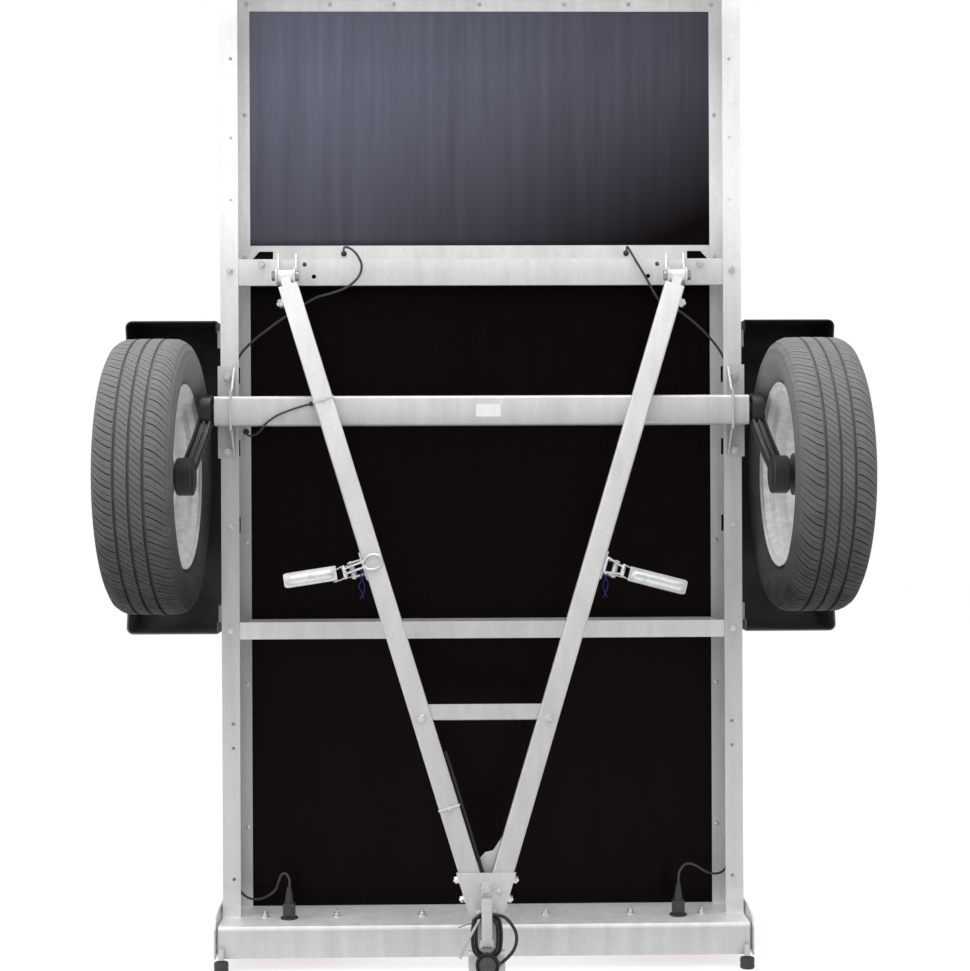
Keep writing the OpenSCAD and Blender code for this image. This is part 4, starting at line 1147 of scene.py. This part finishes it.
class TRAILER_OT_fenders(bpy.types.Operator):
    """Make both moulded fenders"""

    bl_idname = "trailer.make_fenders"
    bl_label = "Fenders"

    def execute(self, context):
        edge = context.scene.trailer_sizes.plastic_edge / MM
        for side, sign in SIDES:
            low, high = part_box(side + "_fender")
            x_in, x_out = (low.x, high.x) if sign > 0 else (-high.x, -low.x)
            bm = self.shell(x_in / MM, x_out / MM, low.y / MM, high.y / MM, low.z / MM, high.z / MM, edge)
            finished(side + "_fender_moulding", thickened(bm, 3), "fender_black", "chassis",
                     [side + "_fender"], smooth=40.0, matrix=mirrored(sign))
        return {"FINISHED"}

    def shell(self, x_in, x_out, y_open, y_roof, z_low, z_high, edge):
        """Outer face of a fender: flange, roof and skirt, along a path round the wheel."""
        corner = 110.0
        path = []

        def station(y, z, ny, nz):
            path.append((Vector((0, y, z)), Vector((0, ny, nz))))

        for k in range(7):
            station(y_open + (y_roof - corner - y_open) * k / 7, z_low, 0, -1)
        for k in range(13):
            a = math.radians(90 * k / 12)
            station(y_roof - corner + corner * math.sin(a), z_low + corner - corner * math.cos(a),
                    math.sin(a), -math.cos(a))
        for k in range(1, 16):
            station(y_roof, z_low + corner + (z_high - z_low - 2 * corner) * k / 16, 1, 0)
        for k in range(13):
            a = math.radians(90 * k / 12)
            station(y_roof - corner + corner * math.cos(a), z_high - corner + corner * math.sin(a),
                    math.cos(a), math.sin(a))
        for k in range(1, 8):
            station(y_roof - corner + (y_open - y_roof + corner) * k / 7, z_high, 0, 1)
        middle_z = (z_low + z_high) / 2
        arch, arch_y = 255.0, -60.0
        half_opening = 238.0
        first = math.asin(half_opening / arch)
        bm = bmesh.new()
        rows = []
        for i, (p, normal) in enumerate(path):
            share = i / (len(path) - 1)
            a = -first + 2 * first * share
            inner_end = Vector((0, arch_y + arch * math.cos(a), middle_z + arch * math.sin(a)))
            inner_end.y = max(inner_end.y, y_open)
            row = [p - normal * d + Vector((x_in + 0.2, 0, 0)) for d in (25.0, 16.0, 8.0, 4.0)]
            for t in (0.0, 0.5, 1.0):
                b = math.radians(90 * t)
                row.append(p - normal * (3.0 * (1 - math.sin(b))) + Vector((x_in + 3.0 * (1 - math.cos(b)), 0, 0)))
            row += [p + Vector((x_in + 4 + (x_out - edge - x_in - 4) * t, 0, 0)) for t in (0.1, 0.3, 0.5, 0.7, 0.9)]
            for k in range(6):
                b = math.radians(90 * k / 5)
                row.append(p - normal * (edge * (1 - math.cos(b)))
                           + Vector((x_out - edge + edge * math.sin(b), 0, 0)))
            start = p - normal * edge
            run = inner_end - start
            for t in (0.15, 0.35, 0.55, 0.75, 0.9, 0.97):
                row.append(start + run * t + Vector((x_out - 1.4 * math.sin(math.pi * t), 0, 0)))
            row += [start + run + Vector((x_out - d, 0, 0)) for d in (2.2, 5.0)]
            rows.append([bm.verts.new(v * MM) for v in row])
        for one, two in zip(rows, rows[1:]):
            for k in range(len(one) - 1):
                bm.faces.new((one[k], one[k + 1], two[k + 1], two[k]))
        bmesh.ops.recalc_face_normals(bm, faces=bm.faces)
        roof = max(bm.faces, key=lambda f: f.calc_center_median().y)
        if roof.normal.y < 0:
            bmesh.ops.reverse_faces(bm, faces=bm.faces)
        return bm


ARM_SECTION = [(-15, -9), (-13, -12), (-9, -12.5), (-7, -7), (-3.5, -7), (-2.5, -11.5), (2.5, -11.5), (3.5, -7),
               (7, -7), (9, -12.5), (13, -12), (15, -9), (15, 9), (12, 12), (-12, 12), (-15, 9)]


class TRAILER_OT_swing_arms(bpy.types.Operator):
    """Make the forged swing arms of the axle"""

    bl_idname = "trailer.make_swing_arms"
    bl_label = "Swing arms"

    def execute(self, context):
        for side, sign in SIDES:
            hub = Vector(next(j for j in frame["joints"] if j["name"] == side + "_wheel_spin")["pos_m"]) / MM
            axle = Vector((0, -34.0, 1130.0))
            bm = bmesh.new()
            bosses = bmesh.new()
            along = turned(90, "Y")
            at_axle = Matrix.Translation(axle * MM) @ along
            at_hub = moved(0, hub.y, hub.z) @ along
            add_turned(bosses, [(0, 549), (31, 549), (34, 551), (34, 571), (31.5, 574), (20, 574.5), (18, 573),
                                (0, 573)], 48, at_axle)
            add_turned(bosses, [(0, 330), (15, 330), (15, 551), (0, 551)], 32, at_axle)
            add_turned(bosses, [(0, 574), (30, 574), (36, 576), (38, 579), (38, 606), (35, 610), (26, 610.5),
                                (0, 611)], 48, at_hub)
            add_turned(bosses, [(0, -44), (17, -44), (17, 38), (15, 40), (0, 40)], 40, wheel_place("right", 1))
            points = [Vector(p) * MM for p in ((562, -36, 1127), (563, -47, 1111), (567, -63, 1088), (573, -79, 1064),
                                               (580, -95, 1040), (587, -110, 1017), (591, -121, 1002))]
            section = [(x * MM, y * MM) for x, y in ARM_SECTION]
            add_swept(bm, smooth_line(points, 3), section, up=(0, -1, -0.6))
            outwards(bm)
            outwards(bosses)
            whole = joined_mesh([as_mesh("arm", bm), as_mesh("boss", bosses)])
            finished(side + "_arm_forging", whole, "cast_black", side + "_swing_arm",
                     [side + "_swing_arm"], smooth=30.0, matrix=mirrored(sign))
        return {"FINISHED"}


# ---------------------------------------------------------------- fasteners


class TRAILER_OT_fasteners(bpy.types.Operator):
    """Set every bolt, stud and screw"""

    bl_idname = "trailer.make_fasteners"
    bl_label = "Fasteners"

    def execute(self, context):
        bolts = bolt_tree(Finish.made["bright_zinc"])
        near, rail_x = (0, -1, 0), 0.518

        def both(points):
            return [(Vector((s * p[0], p[1], p[2])), near) for p in points for s in (-1, 1)]

        studs = [(Vector((s * x, 0.005, 0.090)), (0, 0, 1)) for x in (0.451, 0.303, 0.128) for s in (-1, 1)]
        rows = ((both([(rail_x, 0, z) for z in (1.4205, 0.895, 0.680)]), 0.011, 0.005, 0.015, 0.004),
                (both([(0.523, -0.004, z) for z in (1.202, 1.049)]), 0.013, 0.007, 0.0175, 0.004),
                (both([(0.452, 0, 1.434)]), 0.012, 0.006, 0.016, 0.003),
                (studs, 0.012, 0.006, 0.018, 0.006))
        finished("frame_bolt_heads", joined_mesh([self.row(bolts, *row) for row in rows]), "bright_zinc", "chassis",
                 ["frame_bolts"], smooth=30.0)

        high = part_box("floor_screws")[1]
        screws = [(Vector((x, high.y, high.z - 0.0045)), near) for x in (-0.49, -0.315, -0.18, 0, 0.18, 0.315, 0.49)]
        screws += [(Vector((s * 0.4955, high.y, z)), near) for z in (0.26, 0.56, 0.86, 1.16, 1.46, 1.76)
                   for s in (-1, 1)]
        mesh = self.row(bolts, screws, 0.0055, 0.0006, 0.009, 0.0)
        finished("floor_screw_heads", mesh, "bright_zinc", "chassis", ["floor_screws"], smooth=30.0)

        plane, turn = plane_matrix(), plane_matrix().to_3x3()
        front = turn @ Vector((0, -1, 0))
        rows = [([(plane_point(0, -26, -1221), front)], 0.017, 0.008, 0.023, 0.003),
                ([(plane_point(24, -24, -1225), front)], 0.008, 0.003, 0.011, 0.0),
                ([(plane_point(s * 14, -24, -1266), front) for s in (-1, 1)], 0.009, 0.003, 0.012, 0.0)]
        sides, necks, tubes = [], [], []
        for _, s in SIDES:
            tube = tube_matrix(s)
            out = (tube.to_3x3() @ Vector((1, 0, 0))).normalized()
            face = (tube.to_3x3() @ Vector((0, -1, 0))).normalized()
            for w in (-1204, -1240):
                reach = 400 + 20 / math.cos(SPLAY) + 3.9 + w * math.tan(SPLAY)
                sides.append((plane_point(s * reach, -2, w), out))
            tubes.append((tube @ (Vector((0, -20, -938)) * MM), face))
            necks.append((tube @ (Vector((20, 0, -53)) * MM), out))
        rows += [(sides, 0.012, 0.006, 0.016, 0.002), (tubes, 0.013, 0.004, 0.017, 0.0),
                 (necks, 0.016, 0.008, 0.021, 0.003)]
        bm = joined_mesh([self.row(bolts, *row) for row in rows])
        add_box(bm, (-10, -26, -1234), (10, -24, -1208), plane)
        finished("drawbar_bolt_heads", bm, "bright_zinc", "drawbar", ["drawbar_bolts"],
                 smooth=30.0)
        return {"FINISHED"}

    def row(self, tree, places, across, head, washer, thread):
        return repeated_mesh(tree, places, {"Across flats": across, "Head height": head, "Washer": washer,
                                            "Thread end": thread})


# ---------------------------------------------------------------- latches


def wire_mesh(bm, points, radius, matrix, closed=False, steps=5):
    """A round wire through points in mm, as a ring where it is closed."""
    line = [matrix @ (p * MM) for p in smooth_line(points, steps)]
    section = round_section(radius * MM, 10)
    if closed:
        line.pop()
        rings = []
        for i, p in enumerate(line):
            ahead = (line[(i + 1) % len(line)] - line[i - 1]).normalized()
            normal = ahead.cross(matrix.to_3x3() @ Vector((0, 1, 0))).normalized()
            other = ahead.cross(normal)
            rings.append([bm.verts.new(p + normal * a + other * b) for a, b in section])
        for i, one in enumerate(rings):
            two = rings[(i + 1) % len(rings)]
            for k in range(len(section)):
                m = (k + 1) % len(section)
                bm.faces.new((one[k], one[m], two[m], two[k]))
    else:
        add_swept(bm, line, section)


HANDLES = {"left": (78, 5, 103, 8.5), "right": (76, 0, 115, 2.5)}    # start, shift, length and tilt of the plate


class TRAILER_OT_latches(bpy.types.Operator):
    """Make the toggle latches on the drawbar, with their wire bails and blue strings"""

    bl_idname = "trailer.make_latches"
    bl_label = "Latches"

    def execute(self, context):
        for side, sign in SIDES:
            place = latch_matrix(sign)
            finished(side + "_latch_plate", self.handle(*HANDLES[side]), "bright_zinc", side + "_latch_handle",
                     [side + "_latch_handle"], smooth=35.0, matrix=place)
            bm = bmesh.new()
            eye_y = -24.0
            if sign < 0:
                eye = [(19.0 * math.cos(a) + 1.5, eye_y, 14.6 * math.sin(a) + 1.0)
                       for a in (2 * math.pi * k / 24 for k in range(25))]
                wire_mesh(bm, eye, 2.5, place, closed=True, steps=2)
                for z in (-4, 7.2):
                    wire_mesh(bm, [(15, eye_y, z + 1), (24, eye_y + 0.4, z), (42, -18, z * 0.95),
                                   (59, -9.6, z * 0.9)], 2.4, place)
            else:
                loop = [(60, -9.6, 7.0), (54, -11.8, 8.3), (42, -16.6, 11.0), (31, -21.2, 13.7), (26.6, -23.3, 14.8),
                        (24.6, eye_y, 13.4), (24.0, eye_y, 9), (24.0, eye_y, 0)]
                loop += [(x, y, -z) for x, y, z in reversed(loop[:-1])]
                wire_mesh(bm, loop, 2.3, place)
            sleeve = place @ moved(60, -9, -10)
            add_turned(bm, [(2.2, 0), (3.9, 0), (4.3, 0.5), (4.3, 19.5), (3.9, 20), (2.2, 20)], 24, sleeve,
                       closed=True)
            outwards(bm)
            finished(side + "_latch_wire", bm, "bright_zinc", side + "_latch_bail",
                     [side + "_latch_bail"], smooth=50.0)
            self.string(side, sign, place)
        return {"FINISHED"}

    def handle(self, start, shift, length, tilt):
        """A folded plate with a long pressed rib, cheeks and a rolled pivot; the plate is tilted in degrees."""
        lean = moved(start, 0, shift) @ turned(-tilt, "Y")
        bm = bmesh.new()
        xs = [-2, 2, 6, 9, 12, 20, 40, 60, 80, length - 22, length - 16, length - 12, length - 6, length - 2, length]
        zs = [-14.5, -12.0, -7.5, -5.5, -3.5, -1.2, 1.2, 3.5, 5.5, 7.5, 12.0, 14.5]
        grid = {}
        for i, x in enumerate(xs):
            for j, z in enumerate(zs):
                rib = 0.0
                if 6 < x < length - 6 and abs(z) < 7:
                    rib = -2.4 * (1 - (z / 7.5) ** 2) * (0.75 if x in (9, length - 12) else 1.0)
                limit = 14.5 if x < length - 4 else (13.4 if x < length - 1 else 11.0)
                grid[i, j] = bm.verts.new(Vector((x, -1.5 + rib, max(-limit, min(limit, z)))) * MM)
        for i in range(len(xs) - 1):
            for j in range(len(zs) - 1):
                bm.faces.new((grid[i, j], grid[i + 1, j], grid[i + 1, j + 1], grid[i, j + 1]))
        bmesh.ops.recalc_face_normals(bm, faces=bm.faces)
        if sum((f.normal.y for f in bm.faces)) > 0:
            bmesh.ops.reverse_faces(bm, faces=bm.faces)
        plate = thickened(bm, 1.8)
        bm = bmesh.new()
        for z in (-14.5, 12.7):
            add_box(bm, (0, -1.2, z), (length - 6, 6.6, z + 1.8))
        folds = bevelled(bm, 0.6)
        for mesh in (plate, folds):
            mesh.transform(lean)
        bm = bmesh.new()
        for z in (-12.5, 10.7):
            add_box(bm, (45, -2.2, z), (start + 8, 1.2, z + 1.8))
            add_box(bm, (57, -13, z), (69, -1.0, z + 1.8))
        cheeks = bevelled(bm, 0.6)
        bm = bmesh.new()
        pivot = moved(44, 0, -12.5)
        add_turned(bm, [(3.1, 0), (5.5, 0), (6, 0.6), (6, 24.4), (5.5, 25), (3.1, 25)], 28, pivot, closed=True)
        pin = moved(60, -9, -13.6)
        add_turned(bm, [(0, 0), (2.6, 0), (2.9, 1.0), (2.0, 1.2), (2.0, 26.0), (2.9, 26.2), (2.6, 27.2), (0, 27.2)],
                   20, pin)
        outwards(bm)
        return joined_mesh([plate, folds, cheeks, as_mesh("rounds", bm)])

    def string(self, side, sign, place):
        """Two thin strands knotted to the latch, hanging straight down."""
        anchor = place @ (Vector((25, -8, -4)) * MM)
        draw = random.Random(11 + sign)
        bm = bmesh.new()
        for k in range(2):
            points = [anchor + Vector(((k - 0.5) * 0.003, -0.004, -0.004))]
            for j in range(1, 8):
                sway = (k - 0.5) * 0.011 * math.cos(0.8 * j)
                points.append(anchor + Vector((sway + draw.uniform(-0.0015, 0.0015),
                                               -0.005 + (k - 0.5) * 0.004, -0.006 - 0.0075 * j)))
            add_swept(bm, smooth_line(points, 4), round_section(0.0009, 8))
        ball = Matrix.Translation(anchor + Vector((0, -0.004, -0.004)))
        add_turned(bm, [(0, -3), (2.2, -2.2), (3, 0), (2.2, 2.2), (0, 3)], 12, ball)
        outwards(bm)
        finished(side + "_latch_string", bm, "blue_string", "drawbar", smooth=60.0)


# ---------------------------------------------------------------- lamps, feet and small parts


class TRAILER_OT_lamps(bpy.types.Operator):
    """Make the tail lamps and their plugs on the light beam"""

    bl_idname = "trailer.make_lamps"
    bl_label = "Lamps"

    def execute(self, context):
        housing, lens = bmesh.new(), bmesh.new()
        for s in (-1, 1):
            centre = s * 385
            add_box(housing, (centre - 112, -40, 46), (centre + 112, 50, 84))
            for k in range(3):
                x = centre - 108 + 72 * k
                add_box(lens, (x + 1.0, -37, 33), (x + 71.0, 47, 46))
        finished("lamp_housings", bevelled(housing, 5.0, 3), "lamp_black", "chassis", ["tail_lamps"],
                 smooth=40.0)
        finished("lamp_lenses", bevelled(lens, 3.0, 3), "lamp_lens_red", "chassis", smooth=40.0)
        bm = bmesh.new()
        for s in (-1, 1):
            at = moved(s * 400, -15, 84)
            add_turned(bm, [(0, 0), (11.5, 0), (11.5, 6), (17, 6), (18, 7), (18, 9.2), (17, 10), (12, 10), (0, 10)],
                       40, at)
            taper = [(0, 34)]
            for k in range(7):
                r = 9.6 - 0.75 * k
                taper += [(r, 36 + 5 * k), (r, 39 + 5 * k), (r - 1.5, 39.6 + 5 * k), (r - 1.5, 41 + 5 * k)]
            add_turned(bm, taper + [(3.6, 72), (0, 72)], 28, at)
        outwards(bm)
        glands = as_mesh("glands", bm)
        body = bmesh.new()
        for s in (-1, 1):
            add_box(body, (s * 400 - 12, -27, 94), (s * 400 + 12, -3, 122))
            add_box(body, (s * 400 - 7, -29, 98), (s * 400 + 7, -26, 116))
        finished("lamp_plug_bodies", joined_mesh([glands, bevelled(body, 2.0, 3)]), "plug_dark_grey", "chassis",
                 ["lamp_plugs"], smooth=40.0)
        return {"FINISHED"}


class TRAILER_OT_small_parts(bpy.types.Operator):
    """Make the feet, the ties and the blank label on the axle"""

    bl_idname = "trailer.make_small_parts"
    bl_label = "Feet, ties and label"

    def execute(self, context):
        bm = bmesh.new()
        low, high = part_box("rubber_feet")
        for s in (-1, 1):
            for y, top in (((low.y / MM) + 14.5, 21.5), (high.y / MM - 14.5, 22)):
                x = 530 if y < 0 else 521.5
                foot = [(0, 0), (12.5, 0), (14.0, 1.2), (14.5, 3)]
                foot += [(14.5, 8), (13.6, 9), (13.6, 10.5), (14.5, 11.5), (14.5, top - 2), (13.5, top), (0, top)]
                add_turned(bm, foot, 40, moved(s * x, y, 0))
        outwards(bm)
        finished("foot_pads", bm, "foot_rubber", "chassis", ["rubber_feet"], smooth=40.0)

        ties = bmesh.new()
        for reach in (275, 1120):
            at = tube_matrix(-1) @ moved(0, 0, -reach)
            half = 20.4
            outer = [(x * MM, y * MM) for x, y in ((-half - 1, -half - 1), (half + 1, -half - 1), (half + 1, half + 1),
                                                   (-half - 1, half + 1))]
            for (x0, y0), (x1, y1) in zip(outer, outer[1:] + outer[:1]):
                lo = Vector((min(x0, x1) - 0.0006, min(y0, y1) - 0.0006, 0)) / MM
                hi = Vector((max(x0, x1) + 0.0006, max(y0, y1) + 0.0006, 0.004)) / MM
                add_box(ties, lo, hi, at)
            add_box(ties, (-4, -half - 5, -1.5), (4, -half - 0.5, 5.5), at)
        bmesh.ops.recalc_face_normals(ties, faces=ties.faces)
        finished("nylon_ties", ties, "tie_nylon", "drawbar", ["cable_ties"], smooth=30.0)

        for name, finish, width, points in (
                ("coil_tie_tail", "tie_grey", 0.0032, ((-14, -50, -1276), (-20, -53, -1286), (-29, -54.5, -1302),
                                                       (-38, -54, -1318), (-46, -51, -1334), (-51, -49, -1348))),
                ("coil_tie_end", "plug_black_plastic", 0.0024, ((-14, -49, -1282), (-26, -51, -1283),
                                                                (-40, -52, -1286), (-54, -50, -1291)))):
            bm = bmesh.new()
            add_swept(bm, smooth_line([plane_point(*p) for p in points], 4),
                      [(-width, -0.0006), (width, -0.0006), (width, 0.0006), (-width, 0.0006)])
            outwards(bm)
            finished(name, bm, finish, "drawbar", smooth=30.0)

        label = bmesh.new()
        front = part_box("axle_tube")[0].y / MM
        add_box(label, (-13, front - 0.35, 1117), (37, front + 0.1, 1143))
        finished("axle_label", bevelled(label, 0.1, 1), "label_white", "chassis", smooth=30.0)
        return {"FINISHED"}


# ---------------------------------------------------------------- panel and main


class TRAILER_PT_panel(bpy.types.Panel):
    """Everything that makes up the trailer, in order"""

    bl_idname = "TRAILER_PT_panel"
    bl_label = "Trailer"
    bl_space_type = "VIEW_3D"
    bl_region_type = "UI"
    bl_category = "Trailer"

    def draw(self, context):
        column = self.layout.column()
        for group in (context.scene.trailer_sizes, context.scene.trailer_colours):
            for name in group.__annotations__:
                column.prop(group, name)
        for operator in OPERATORS:
            column.operator(operator.bl_idname)


OPERATORS = (TRAILER_OT_stage, TRAILER_OT_cords, TRAILER_OT_frame, TRAILER_OT_panels, TRAILER_OT_wheels,
             TRAILER_OT_fenders, TRAILER_OT_swing_arms, TRAILER_OT_fasteners, TRAILER_OT_latches,
             TRAILER_OT_lamps, TRAILER_OT_small_parts)
CLASSES = (TrailerSizes, TrailerColours, *OPERATORS, TRAILER_PT_panel)


def register():
    for item in CLASSES:
        bpy.utils.register_class(item)
    bpy.types.Scene.trailer_sizes = PointerProperty(type=TrailerSizes)
    bpy.types.Scene.trailer_colours = PointerProperty(type=TrailerColours)


def unregister():
    del bpy.types.Scene.trailer_sizes
    del bpy.types.Scene.trailer_colours
    for item in reversed(CLASSES):
        bpy.utils.unregister_class(item)


def main():
    register()
    make_finishes(bpy.context.scene.trailer_colours)
    for operator in OPERATORS:
        group, name = operator.bl_idname.split(".")
        getattr(getattr(bpy.ops, group), name)()


if __name__ == "__main__":
    main()
